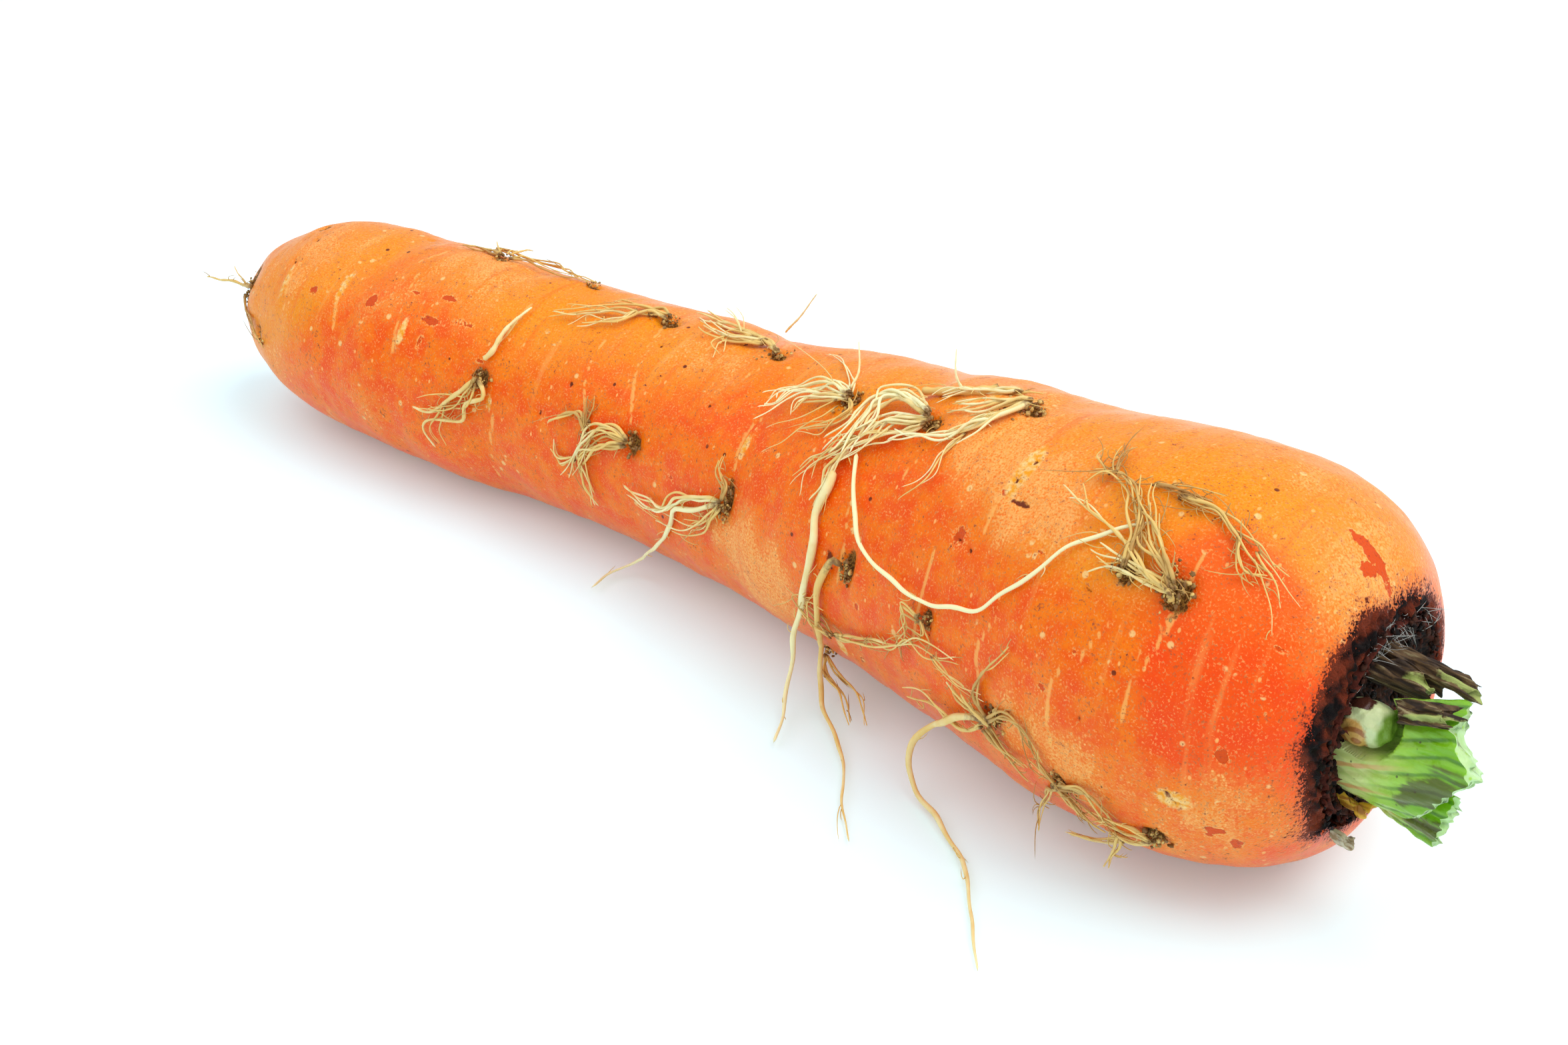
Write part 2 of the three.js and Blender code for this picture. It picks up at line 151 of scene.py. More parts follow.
@dataclass(frozen=True)
class RootForm:
    """The smooth body of the taproot, with the CAD model's own sizes."""

    tip: float = -95
    rim: float = 95
    tip_rounding: float = 26.5
    shoulder_rounding: float = 18
    rim_radius: float = 12.2
    oval: float = 0.010
    threefold: float = 0.008
    girth: Knots = ((-95, 14.5), (-70, 15.5), (-45, 16), (-20, 16.1), (5, 17), (30, 19.5),
                    (55, 21.8), (75, 23.4), (95, 22.6))
    midline_y: Knots = ((-95, -6.1), (-55, -4), (-15, 0.4), (25, -1.3), (65, -6.1), (95, -6.1))
    midline_z: Knots = ((-95, 15.1), (-70, 15.2), (-45, 15.7), (-20, 15.8), (5, 16.7),
                        (30, 19.2), (55, 21.5), (75, 23.1), (95, 22.3))
    hollow: Knots = ((11.9, 93.8), (11.4, 92), (9.8, 90.1), (0, 89.6))

    def skin_radius(self, station: np.ndarray) -> np.ndarray:
        """The radius of the skin: the girth, drawn in by a quarter of an ellipse at either end.

        Args:
            station: the station along X.

        Returns:
            Radii in millimetres.
        """
        girth = between(self.girth, station)
        tip_share = np.clip((station - self.tip) / self.tip_rounding, 0, 1)
        shoulder_share = np.clip((self.rim - station) / self.shoulder_rounding, 0, 1)
        tip_radius = girth * np.sqrt(1 - (1 - tip_share) ** 2)
        spare = (girth - self.rim_radius) * np.sqrt(1 - (1 - shoulder_share) ** 2)
        return np.where(station < 0, tip_radius, self.rim_radius + spare)

    def around(self, station: np.ndarray, angle: np.ndarray, radius: np.ndarray) -> np.ndarray:
        """The places at an angle and radius round the midline.

        The girth swells by an oval and a threefold wave over the upper side, and whatever would
        lie below z = 0 is flattened onto it.

        Args:
            station: the station along X.
            angle: degrees round the root.
            radius: the distance from the midline.

        Returns:
            Points, with x, y and z on the last axis.
        """
        turn = np.radians(angle)
        swell = self.oval * np.sin(2 * turn + 0.7 + station / 40)
        swell = swell + self.threefold * np.sin(3 * turn - station / 17)
        reach = radius * (1 + (1 + np.sin(turn)) / 2 * swell)
        y = between(self.midline_y, station) + reach * np.cos(turn)
        z = np.maximum(0, between(self.midline_z, station) + reach * np.sin(turn))
        return np.stack(np.broadcast_arrays(station, y, z), -1)

    def skin(self, places: np.ndarray) -> np.ndarray:
        """The points at places (station, angle, lift), with the lift square to the skin.

        Args:
            places: station, angle and lift on the last axis.

        Returns:
            Points: the skin's place plus the unit normal times the lift.
        """
        small = 0.01
        station, angle, lift = places[..., 0], places[..., 1], places[..., 2]
        here = self.around(station, angle, self.skin_radius(station))
        along = self.around(station + small, angle, self.skin_radius(station + small)) - here
        across = self.around(station, angle + small, self.skin_radius(station)) - here
        return here + unit(np.cross(across, along)) * lift[..., None]


# ---- Meshes -----------------------------------------------------------------------------------


class Shells:
    """Closed shells gathered for one mesh, each made of rings whose first and last are points."""

    def __init__(self) -> None:
        """Starts with nothing."""
        self.points: list[np.ndarray] = []
        self.marks: list[dict[str, np.ndarray]] = []
        self.faces: list[np.ndarray] = []
        self.tips: list[np.ndarray] = []
        self.count = 0

    @staticmethod
    def flat(values: np.ndarray) -> np.ndarray:
        """Grid values (shell, ring, side, n) as rows: first point, inner rings, last point.

        Args:
            values: the grid's values.

        Returns:
            Rows (point, n).
        """
        shells, _, _, width = values.shape
        inner = values[:, 1:-1].reshape(shells, -1, width)
        rows = np.concatenate([values[:, 0, :1], inner, values[:, -1, :1]], 1)
        return rows.reshape(-1, width)

    def add(self, grid: np.ndarray, **marks: np.ndarray) -> None:
        """Adds shells.

        Args:
            grid: points (shell, ring, side, 3). Outward is the side direction crossed with the
                ring direction.
            marks: values (shell, ring, side, 3) to keep on the mesh as attributes.
        """
        shells, rings, sides, _ = grid.shape
        size = 2 + (rings - 2) * sides
        start = self.count + np.arange(shells)[:, None, None] * size
        ring = 1 + np.arange(rings - 3)[:, None] * sides
        side = np.arange(sides)
        after = (side + 1) % sides
        quads = np.stack([ring + side, ring + after, ring + sides + after, ring + sides + side], -1)
        self.faces.append((quads.reshape(1, -1, 4) + start).reshape(-1, 4))
        last = size - 1 - sides
        first_fan = np.stack([np.zeros(sides, int), 1 + after, 1 + side], -1)
        last_fan = np.stack([np.full(sides, size - 1), last + side, last + after], -1)
        fans = np.concatenate([first_fan, last_fan])
        self.tips.append((fans.reshape(1, -1, 3) + start).reshape(-1, 3))
        self.points.append(self.flat(grid))
        self.marks.append({name: self.flat(values) for name, values in marks.items()})
        self.count += shells * size

    def piece(self, name: str, node: str, material: bpy.types.Material) -> None:
        """Makes the gathered shells one object that stands for a CAD node.

        Args:
            name: the object's name.
            node: the CAD node it replaces.
            material: its material.
        """
        mesh = bpy.data.meshes.new(name)
        quads, tips = np.concatenate(self.faces), np.concatenate(self.tips)
        corners = np.concatenate([quads.ravel(), tips.ravel()]).astype(np.int32)
        starts = np.concatenate([np.arange(len(quads)) * 4, len(quads) * 4 + np.arange(len(tips)) * 3])
        mesh.vertices.add(self.count)
        mesh.vertices.foreach_set("co", (np.concatenate(self.points) * MM).astype(np.float32).ravel())
        mesh.loops.add(len(corners))
        mesh.loops.foreach_set("vertex_index", corners)
        mesh.polygons.add(len(starts))
        mesh.polygons.foreach_set("loop_start", starts.astype(np.int32))
        mesh.update(calc_edges=True)
        mesh.polygons.foreach_set("use_smooth", np.ones(len(starts), bool))
        for mark in self.marks[0]:
            rows = np.concatenate([marks[mark] for marks in self.marks]).astype(np.float32)
            layer = mesh.attributes.new(mark, "FLOAT_VECTOR", "POINT")
            layer.data.foreach_set("vector", rows.ravel())
        mesh.materials.append(material)
        mesh.validate()
        thing = bpy.data.objects.new(name, mesh)
        bpy.context.scene.collection.objects.link(thing)
        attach(thing, BODY)
        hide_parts(node)
        LOG.info("%s: %d points, %d faces", name, self.count, len(starts))


def tubes(paths: np.ndarray, radii: np.ndarray, sides: int) -> np.ndarray:
    """Rings round paths, drawn to a point at both ends.

    A ring is u cos t + v sin t, where u is square to the path and nearest to a fixed direction, and
    v is square to both.

    Args:
        paths: points (path, n, 3).
        radii: the radius at each, (path, n).
        sides: points in a ring.

    Returns:
        A grid (path, n, side, 3).
    """
    way = unit(np.gradient(paths, axis=1))
    fixed = np.broadcast_to(np.array([0.31, -0.52, 0.8]), way.shape)
    u = unit(fixed - way * (fixed * way).sum(-1, keepdims=True))
    v = np.cross(way, u)
    turn = np.arange(sides) / sides * 2 * math.pi
    radii = radii.copy()
    radii[:, 0] = 0
    radii[:, -1] = 0
    ring = u[:, :, None] * np.cos(turn)[:, None] + v[:, :, None] * np.sin(turn)[:, None]
    return paths[:, :, None] + ring * radii[:, :, None, None]


def pebbles(centres: np.ndarray, sizes: np.ndarray, seed: int) -> np.ndarray:
    """Small rough lumps: spheres of 5 rings and 6 sides whose radius varies by a third.

    Args:
        centres: the middles (n, 3).
        sizes: the radii (n,).
        seed: the draw's seed.

    Returns:
        A grid (n, 7, 6, 3).
    """
    draw = np.random.default_rng(seed)
    fall, turn = np.meshgrid(np.linspace(0, math.pi, 7), np.arange(6) / 3 * math.pi, indexing="ij")
    ball = np.stack([np.sin(fall) * np.cos(turn), np.sin(fall) * np.sin(turn), -np.cos(fall)], -1)
    rough = draw.uniform(0.65, 1.3, (len(centres), 7, 6, 1))
    rough[:, [0, -1]] = 1
    stretch = draw.uniform(0.6, 1.35, (len(centres), 1, 1, 3))
    return centres[:, None, None] + ball * rough * stretch * sizes[:, None, None, None]


# ---- Materials --------------------------------------------------------------------------------

Colour = tuple[float, float, float, float]
Value = Socket | float | Colour | tuple[float, float, float]


def srgb(red: int, green: int, blue: int) -> Colour:
    """A display colour as a linear one: share / 12.92 near black, else ((share + 0.055) / 1.055) ** 2.4.

    Args:
        red: the red part.
        green: the green part.
        blue: the blue part.

    Returns:
        Red, green, blue and an opacity of 1.
    """
    share = np.array([red, green, blue]) / 255
    linear = np.where(share <= 0.04045, share / 12.92, ((share + 0.055) / 1.055) ** 2.4)
    return (*linear.tolist(), 1.0)


class Shader:
    """A material under construction. Patterns are sized in millimetres on Object coordinates."""

    def __init__(self, name: str) -> None:
        """Makes the material with one surface shader.

        Args:
            name: the material's name.
        """
        self.material = bpy.data.materials.new(name)
        self.material.use_nodes = True
        self.tree = self.material.node_tree
        self.tree.nodes.clear()
        output = self.tree.nodes.new("ShaderNodeOutputMaterial")
        self.surface = self.tree.nodes.new("ShaderNodeBsdfPrincipled")
        self.tree.links.new(self.surface.outputs[0], output.inputs["Surface"])
        self.place = self.tree.nodes.new("ShaderNodeTexCoord").outputs["Object"]

    def put(self, socket: Socket, value: Value) -> None:
        """Links a value to a socket, or sets the socket to a plain one."""
        if isinstance(value, Socket):
            self.tree.links.new(value, socket)
        else:
            socket.default_value = value

    def set(self, **values: Value) -> None:
        """Sets the surface's inputs, each named in lower case with _ for a space."""
        for name, value in values.items():
            title = name.replace("_", " ").title().replace("Ior", "IOR")
            self.put(self.surface.inputs[title], value)

    def coords(self, size: float, stretch: tuple[float, float, float]) -> Socket:
        """Object coordinates measured in a size, in millimetres, drawn out by stretch.

        Args:
            size: millimetres that count as 1.
            stretch: how far the pattern is drawn out along each axis.

        Returns:
            The vector.
        """
        node = self.tree.nodes.new("ShaderNodeMapping")
        self.put(node.inputs["Vector"], self.place)
        node.inputs["Scale"].default_value = [1 / (MM * size * s) for s in stretch]
        return node.outputs[0]

    def noise(self, size: float, detail: float = 3, stretch: tuple = (1, 1, 1)) -> Socket:
        """Soft noise between 0 and 1, of that size in millimetres.

        Args:
            size: the size of a typical patch in millimetres.
            detail: how many finer layers are added.
            stretch: how far it is drawn out along each axis.

        Returns:
            The noise.
        """
        node = self.tree.nodes.new("ShaderNodeTexNoise")
        self.put(node.inputs["Vector"], self.coords(size, stretch))
        node.inputs["Scale"].default_value = 1
        node.inputs["Detail"].default_value = detail
        return node.outputs[0]

    def cells(self, size: float, stretch: tuple = (1, 1, 1)) -> Socket:
        """The distance to the nearest of scattered points, in shares of the size.

        Args:
            size: the spacing in millimetres.
            stretch: how far it is drawn out along each axis.

        Returns:
            The distance.
        """
        node = self.tree.nodes.new("ShaderNodeTexVoronoi")
        self.put(node.inputs["Vector"], self.coords(size, stretch))
        node.inputs["Scale"].default_value = 1
        return node.outputs["Distance"]

    def marks(self, name: str) -> list[Socket]:
        """The three parts of a mesh attribute.

        Args:
            name: the attribute's name.

        Returns:
            Its x, y and z.
        """
        node = self.tree.nodes.new("ShaderNodeAttribute")
        node.attribute_name = name
        split = self.tree.nodes.new("ShaderNodeSeparateXYZ")
        self.put(split.inputs[0], node.outputs["Vector"])
        return list(split.outputs)

    def sum(self, first: Value, second: Value, share: float = 1, fixed: float = 0) -> Socket:
        """first + second * share + fixed.

        Args:
            first: a value.
            second: the value that is scaled.
            share: the scale.
            fixed: a plain number to add.

        Returns:
            The sum.
        """
        node = self.tree.nodes.new("ShaderNodeMath")
        node.operation = "MULTIPLY_ADD"
        for socket, value in zip(node.inputs, (second, share, first)):
            self.put(socket, value)
        if not fixed:
            return node.outputs[0]
        return self.sum(node.outputs[0], 1.0, fixed)

    def times(self, first: Value, second: Value) -> Socket:
        """first * second.

        Args:
            first: a value.
            second: another.

        Returns:
            The product.
        """
        node = self.tree.nodes.new("ShaderNodeMath")
        node.operation = "MULTIPLY"
        self.put(node.inputs[0], first)
        self.put(node.inputs[1], second)
        return node.outputs[0]

    def span(self, value: Value, low: float, high: float, start: float = 0, end: float = 1) -> Socket:
        """A smooth step of value from low to high, going from start to end.

        Args:
            value: the value to judge.
            low: where the step starts.
            high: where it ends; it may be below low.
            start: the result at low.
            end: the result at high.

        Returns:
            The step.
        """
        node = self.tree.nodes.new("ShaderNodeMapRange")
        node.interpolation_type = "SMOOTHSTEP"
        for title, plain in (("From Min", low), ("From Max", high), ("To Min", start), ("To Max", end)):
            node.inputs[title].default_value = plain
        self.put(node.inputs["Value"], value)
        return node.outputs[0]

    def mix(self, share: Value, first: Value, second: Value) -> Socket:
        """Colour first, going to second as share goes to 1.

        Args:
            share: 0 for the first colour, 1 for the second.
            first: a colour.
            second: another.

        Returns:
            The colour.
        """
        node = self.tree.nodes.new("ShaderNodeMix")
        node.data_type = "RGBA"
        self.put(node.inputs[0], share)
        self.put(node.inputs[6], first)
        self.put(node.inputs[7], second)
        return node.outputs[2]

    def relief(self, height: Value, depth: float, strength: float = 1.0) -> None:
        """Bumps the surface by height, where 1 is depth millimetres.

        Args:
            height: the value that raises the surface.
            depth: millimetres at a height of 1.
            strength: the share of the bump that is kept.
        """
        node = self.tree.nodes.new("ShaderNodeBump")
        node.inputs["Strength"].default_value = strength
        node.inputs["Distance"].default_value = depth * MM
        self.put(node.inputs["Height"], height)
        self.put(self.surface.inputs["Normal"], node.outputs[0])


# ---- The taproot ------------------------------------------------------------------------------


class Spot(NamedTuple):
    """A round or drawn-out mark on the skin: long runs along the root, wide runs round it."""

    station: float
    angle: float
    long: float
    wide: float
    weight: float = 1


def spots(long: float, wide: float, weight: float, *places: tuple[float, float]) -> tuple[Spot, ...]:
    """Spots of one size and weight at (station, angle) places."""
    return tuple(Spot(*place, long, wide, weight) for place in places)


# Pale creases that run round the root, each a list of (station, angle).
CREASES: tuple[Knots, ...] = (
    ((-78, 120), (-76, 142), (-75, 157)),
    ((-66, 113), (-66, 125), (-64, 146), (-63, 159)),
    ((-54, 112), (-52, 138), (-51, 155)),
    ((-34, 110), (-34, 126), (-35, 140)),
    ((-32, 152), (-32, 168), (-33, 189), (-34, 212)),
    ((-19, 118), (-18, 138), (-16, 152)),
    ((-14, 95), (-12, 120), (-8, 152), (-8, 169)),
    ((-5, 89), (-4, 107), (-3, 118)),
    ((4, 79), (6, 99), (5, 110)),
    ((12, 126), (11, 136), (12, 154), (13, 161), (12, 177)),
    ((33, 151), (34, 161), (34, 174)),
    ((48, 152), (48, 166), (48, 179)),
    ((40, 82), (41, 111), (39, 132)),
    ((55, 102), (55, 114), (54, 126), (54, 139)),
    ((74, 135), (74, 147), (72, 160)),
    ((80, 126), (80, 143), (79, 155)),
    ((60, 159), (58, 172), (59, 183)),
    ((80, 140), (78, 154), (78, 171)),
    ((70, 165), (69, 173), (70, 192)),
    ((49, 99), (47, 115), (46, 129)),
)

# Lens-shaped scars where side roots came off.
SCARS = (
    Spot(55, 118, 1.3, 4.6), Spot(-65, 131, 0.8, 3.8, 0.8), Spot(-50.5, 144, 0.8, 3, 0.8),
    Spot(-77, 139, 0.7, 4.4, 0.7), Spot(84, 192, 2.1, 1.5), Spot(12, 141, 0.7, 2.2, 0.8),
    Spot(-33, 165, 0.7, 2.2, 0.7), Spot(73.2, 133, 1.2, 3.4, 0.9), Spot(33, 207, 0.9, 2.6, 0.8),
    Spot(-20, 10, 0.8, 3.2, 0.8), Spot(38, 40, 1, 4, 0.9), Spot(66, 20, 1.1, 4.2, 0.9),
    Spot(-58, 40, 0.7, 3, 0.8), Spot(10, 345, 0.8, 3, 0.8), Spot(52, 330, 0.9, 3.4, 0.8),
    Spot(42.5, 87, 1.2, 3.2, 0.9),
)
# Brown pits and torn places.
PITS = (
    Spot(55.4, 114, 0.45, 0.8), Spot(54.8, 122, 0.4, 0.6), Spot(57, 128, 1.8, 0.6),
    Spot(83.4, 191, 0.7, 0.5), Spot(84.4, 194, 0.6, 0.5), Spot(51, 144, 0.5, 0.5),
    Spot(53, 146, 0.5, 0.4), Spot(-78, 125, 0.4, 0.5), Spot(31.9, 167.5, 0.9, 0.9),
    Spot(38, 41, 0.5, 0.8), Spot(66, 22, 0.5, 0.8), Spot(-20, 12, 0.4, 0.6),
)
# Small windows where the thin film has peeled off.
PEELS = (
    Spot(90, 91, 1.6, 1.2), Spot(92.4, 91, 1.1, 1), Spot(92, 97.5, 1, 1.4), Spot(94, 92, 0.8, 0.9),
    Spot(95, 36, 1, 1.6), Spot(88, 202, 1.2, 0.7), Spot(87.2, 205, 0.6, 0.5), Spot(89.3, 209, 0.8, 1.3),
    Spot(88.2, 173, 0.8, 1.1),
    Spot(71, 161, 0.6, 0.8), Spot(68, 173, 0.7, 0.6), Spot(63, 189, 0.8, 0.7), Spot(38, 180, 0.8, 0.6),
    Spot(1, 166, 1.3, 0.8), Spot(-58, 133, 1.4, 1.6), Spot(-46, 134, 2.6, 0.8), Spot(-41, 131, 2, 0.9),
    Spot(-47, 146, 0.7, 2), Spot(-70, 138, 1.3, 0.8), Spot(-46, 120, 2.4, 0.7), Spot(51, 144, 1.7, 1.6),
    Spot(54.4, 127, 1, 0.7), Spot(63, 139, 0.8, 0.5), Spot(16, 140, 1, 0.6), Spot(32, 94, 0.7, 0.5),
    Spot(90, 138, 0.8, 0.5), Spot(60, 350, 1.6, 1.1), Spot(20, 25, 2, 0.8), Spot(-30, 340, 1.8, 0.8),
    Spot(80, 45, 1.2, 0.9), Spot(-66, 10, 1.2, 0.9), Spot(-52, 122, 1.5, 0.5), Spot(-36, 146, 1, 0.5),
)
SPECKS = spots(0.5, 0.5, 1, (-1, 89), (-11, 109), (-24, 161), (-20, 143), (73, 177), (50, 176),
               (70, 144), (-77, 107), (14, 20), (45, 5), (-40, 350), (72, 355), (-62, 75), (3, 130))
# Where the skin shows a deep clear orange, a pale frosted film, gold, or red.
DEEP = spots(9, 9, 1, (-64, 170), (-46, 172), (-32, 158), (-22, 166), (-3, 170), (1, 161), (17, 138),
             (15, 117), (37, 131), (34, 135), (41, 149), (30, 164), (59, 161), (66, 157), (78, 165),
             (85, 148), (74, 124), (84, 112), (-30, 20), (20, 5), (60, 15), (50, 178), (-12, 150))
FILM = spots(9, 9, 0.75, (-72, 117), (-47, 83), (-54, 196), (-75, 198), (-23, 195), (-3, 123), (7, 119),
             (48, 113), (44, 127), (38, 170), (12, 182), (21, 181), (65, 131), (65, 152), (52, 195),
             (63, 178), (72, 192), (80, 136), (83, 90), (93, 100), (94, 118), (86, 196), (84, 215),
             (0, 30), (-60, 350), (40, 350), (80, 20), (20, 210), (60, 128))
GOLD = spots(13, 15, 1, (56, 92), (68, 84), (80, 78), (70, 104), (40, 60), (-6, 85), (-46, 62),
             (22, 84), (84, 100), (-30, 95), (62, 60), (-84, 110), (-86, 150), (-72, 90))
RED = spots(7, 7, 1, (90, 148), (88, 156), (92, 158), (82, 128), (86, 140), (86, 168))
# Brown soil in the dimples that side roots grow from.
SOIL = (
    Spot(-47, 79, 1, 0.8), Spot(-35, 154, 1.5, 1.6), Spot(-7, 159, 1.2, 1.8), Spot(-14, 91, 1.5, 1),
    Spot(6, 93, 1.5, 1), Spot(12, 164, 0.9, 2.8), Spot(24, 110, 1.4, 1.3), Spot(38, 112, 1.6, 1.3),
    Spot(48.5, 92, 1.6, 1.4), Spot(35.5, 168, 1, 2.4), Spot(49.5, 171, 0.8, 1.4),
    Spot(79.5, 137, 1.8, 2.2), Spot(73.5, 136, 1.2, 1.8), Spot(61, 192, 1.2, 1.8),
    Spot(70, 204, 1, 1.4), Spot(81, 212, 1.8, 1.6), Spot(-89.5, 146, 2, 3), Spot(-90, 162, 1.4, 1.4),
    Spot(-82, 178, 0.7, 1.4), Spot(-80, 92, 1.2, 0.9), Spot(27.5, 223, 1, 1), Spot(-31, 77, 1, 0.7),
)
# Broad waists round the root: station, angle, length, spread round the root and depth.
WAISTS = (
    Spot(-62, 110, 3.4, 22, 0.5), Spot(-33, 185, 3.2, 14, 0.45), Spot(-14, 105, 2.8, 14, 0.45),
    Spot(12, 160, 3, 16, 0.55), Spot(31, 100, 3.6, 16, 0.5), Spot(35, 160, 2.6, 9, 0.5),
    Spot(-51, 200, 3, 12, 0.4), Spot(80, 140, 3.4, 14, 0.6), Spot(57, 190, 4, 12, 0.4),
    Spot(75, 110, 3, 10, 0.35), Spot(-6, 190, 3, 10, 0.4), Spot(-40, 80, 3, 12, 0.4),
    Spot(0, 20, 4, 16, 0.5), Spot(45, 10, 4, 18, 0.5), Spot(-55, 350, 4, 14, 0.4),
    Spot(70, 340, 4, 16, 0.5), Spot(50, 92, 3, 8, 0.5), Spot(62, 330, 3, 12, 0.4),
)


@dataclass(frozen=True)
class SkinFinish:
    """Carrot skin: a pale frosted film over clear orange, with painted glints and sparkles, creases, scars,
    soil and crust.
    """

    deep: Colour = srgb(238, 80, 0)
    bright: Colour = srgb(244, 120, 0)
    film: Colour = srgb(240, 140, 52)
    # Pale frost specks of the film, also the colour of the painted glints and sparkles.
    frost_and_glint: Colour = srgb(252, 184, 104)
    gold: Colour = srgb(238, 152, 18)
    red: Colour = srgb(244, 62, 4)
    crease: Colour = srgb(248, 178, 92)
    scar: Colour = srgb(244, 200, 128)
    pit: Colour = srgb(112, 42, 8)
    peel: Colour = srgb(214, 74, 0)
    soil: Colour = srgb(104, 62, 20)
    soil_dry: Colour = srgb(168, 118, 48)
    crust: Colour = srgb(13, 3, 2)
    crust_brown: Colour = srgb(116, 44, 20)
    singed: Colour = srgb(170, 58, 26)

    def dress(self) -> bpy.types.Material:
        """Makes the material.

        The attributes tone, marks and edges say where each layer lies, as soft hills. Noise is
        added to a hill before it is cut off, so that its edge is ragged.

        Returns:
            The material.
        """
        make = Shader("skin")
        film, gold, red = make.marks("tone")
        crease, scar, soil = make.marks("marks")
        crust, peel, pit = make.marks("edges")
        broad, middle, fine = make.noise(9, 3), make.noise(2.6, 4), make.noise(0.7, 3)
        grit = make.noise(0.26, 2)
        streak = make.noise(1.5, 4, (1, 14, 14))
        cloud = make.noise(4.5, 4, (0.8, 2.4, 2.4))

        colour = make.mix(make.span(middle, 0.3, 0.7), self.deep, self.bright)
        colour = make.mix(make.times(make.span(gold, 0.2, 0.9), 0.75), colour, self.gold)
        colour = make.mix(make.times(make.span(red, 0.25, 1), 0.7), colour, self.red)
        # The film share; it is lowered on the underside as painted shade.
        veil = make.sum(make.sum(film, cloud, 1.2, -0.6), fine, 0.9, -0.45)
        veil = make.span(veil, 0.22, 1.05)
        colour = make.mix(make.times(veil, 0.82), colour, self.film)
        # Pale frost specks where the film is thick and the grit peaks, partly painted glints.
        glint = make.sum(make.sum(veil, grit, 2.2, -1.1), streak, 0.5, -0.25)
        frost_and_glint = make.span(glint, 0.62, 1.35)
        colour = make.mix(make.times(frost_and_glint, 0.62), colour, self.frost_and_glint)
        # Painted sparkle highlights: small pale dots scattered over the film.
        painted_sparkle = make.times(make.span(make.cells(0.62), 0.30, 0.12), make.span(veil, 0.1, 0.75))
        colour = make.mix(make.times(painted_sparkle, make.span(cloud, 0.38, 0.62, 0.3, 1)), colour, self.frost_and_glint)
        colour = make.mix(make.span(grit, 0.54, 0.70, 0, 0.50), colour, self.frost_and_glint)
        colour = make.mix(make.span(grit, 0.46, 0.30, 0, 0.50), colour, self.deep)
        colour = make.mix(make.span(streak, 0.6, 0.78, 0, 0.34), colour, self.crease)
        colour = make.mix(make.span(streak, 0.42, 0.24, 0, 0.38), colour, self.deep)

        line = make.span(make.sum(crease, fine, 0.7, -0.35), 0.4, 0.8)
        colour = make.mix(make.times(line, 0.72), colour, self.crease)
        dot = make.span(make.cells(1.9, (1, 1.6, 1.6)), 0.12, 0.06)
        colour = make.mix(make.times(dot, 0.75), colour, self.frost_and_glint)
        flake = make.times(make.span(make.cells(3.1), 0.16, 0.1), make.span(middle, 0.5, 0.58))
        colour = make.mix(make.times(flake, 0.8), colour, self.scar)
        freckle = make.times(make.span(make.cells(6.3), 0.055, 0.035), make.span(broad, 0.4, 0.5))
        colour = make.mix(freckle, colour, self.pit)

        torn = make.sum(make.sum(peel, middle, 1.5, -0.75), fine, 0.8, -0.4)
        bare = make.span(torn, 0.66, 0.74)
        rim = make.times(make.span(torn, 0.36, 0.66), make.span(grit, 0.42, 0.6))
        colour = make.mix(make.times(rim, 0.7), colour, self.frost_and_glint)
        colour = make.mix(bare, colour, self.peel)
        healed = make.span(make.sum(scar, fine, 0.5, -0.25), 0.36, 0.6)
        colour = make.mix(healed, colour, make.mix(make.span(fine, 0.35, 0.65), self.gold, self.scar))
        hole = make.span(make.sum(pit, fine, 0.9, -0.45), 0.55, 0.8)
        colour = make.mix(hole, colour, self.pit)
        dirt = make.span(make.sum(make.sum(soil, fine, 0.9, -0.45), middle, 0.5, -0.25), 0.4, 0.62)
        colour = make.mix(dirt, colour, make.mix(make.span(grit, 0.4, 0.62), self.soil, self.soil_dry))

        char = make.sum(make.sum(make.sum(crust, middle, 0.7, -0.35), fine, 0.8, -0.4), grit, 1.3, -0.65)
        colour = make.mix(make.span(char, 0.1, 0.46, 0, 0.82), colour, self.singed)
        black = make.span(char, 0.42, 0.56)
        bark = make.mix(make.span(middle, 0.42, 0.66), self.crust, self.crust_brown)
        colour = make.mix(black, colour, bark)

        rough = make.span(veil, 0, 1, 0.30, 0.46)
        rough = make.sum(rough, black, 0.5)
        rough = make.sum(rough, dirt, 0.4)
        make.set(base_color=colour, roughness=rough, subsurface_weight=0.1,
                 subsurface_radius=(1.0, 0.45, 0.15), subsurface_scale=0.0016, coat_weight=0.05,
                 coat_roughness=0.18, ior=1.4, specular_ior_level=0.22)
        height = make.sum(make.sum(make.times(fine, 0.5), grit, 0.6), streak, 0.35)
        height = make.sum(height, bare, -0.5)
        height = make.sum(height, hole, -0.9)
        height = make.sum(height, make.times(make.sum(black, dirt), grit), 2.2)
        make.relief(height, 0.2, 0.85)
        return make.material


def form_edge(angle: np.ndarray) -> np.ndarray:
    """The radius that the crust round the crown reaches: widest near the top, with slow waves.

    Args:
        angle: degrees round the crown.

    Returns:
        Radii in millimetres: 13.3 plus a broad cosine and three finer sine waves.
    """
    turn = np.radians(angle)
    widest = math.radians(118)
    waves = 0.45 * np.sin(3 * turn + 1.1) + 0.35 * np.sin(7 * turn) + 0.25 * np.sin(13 * turn + 2)
    return 13.3 + 1.3 * np.cos(turn - widest) + waves


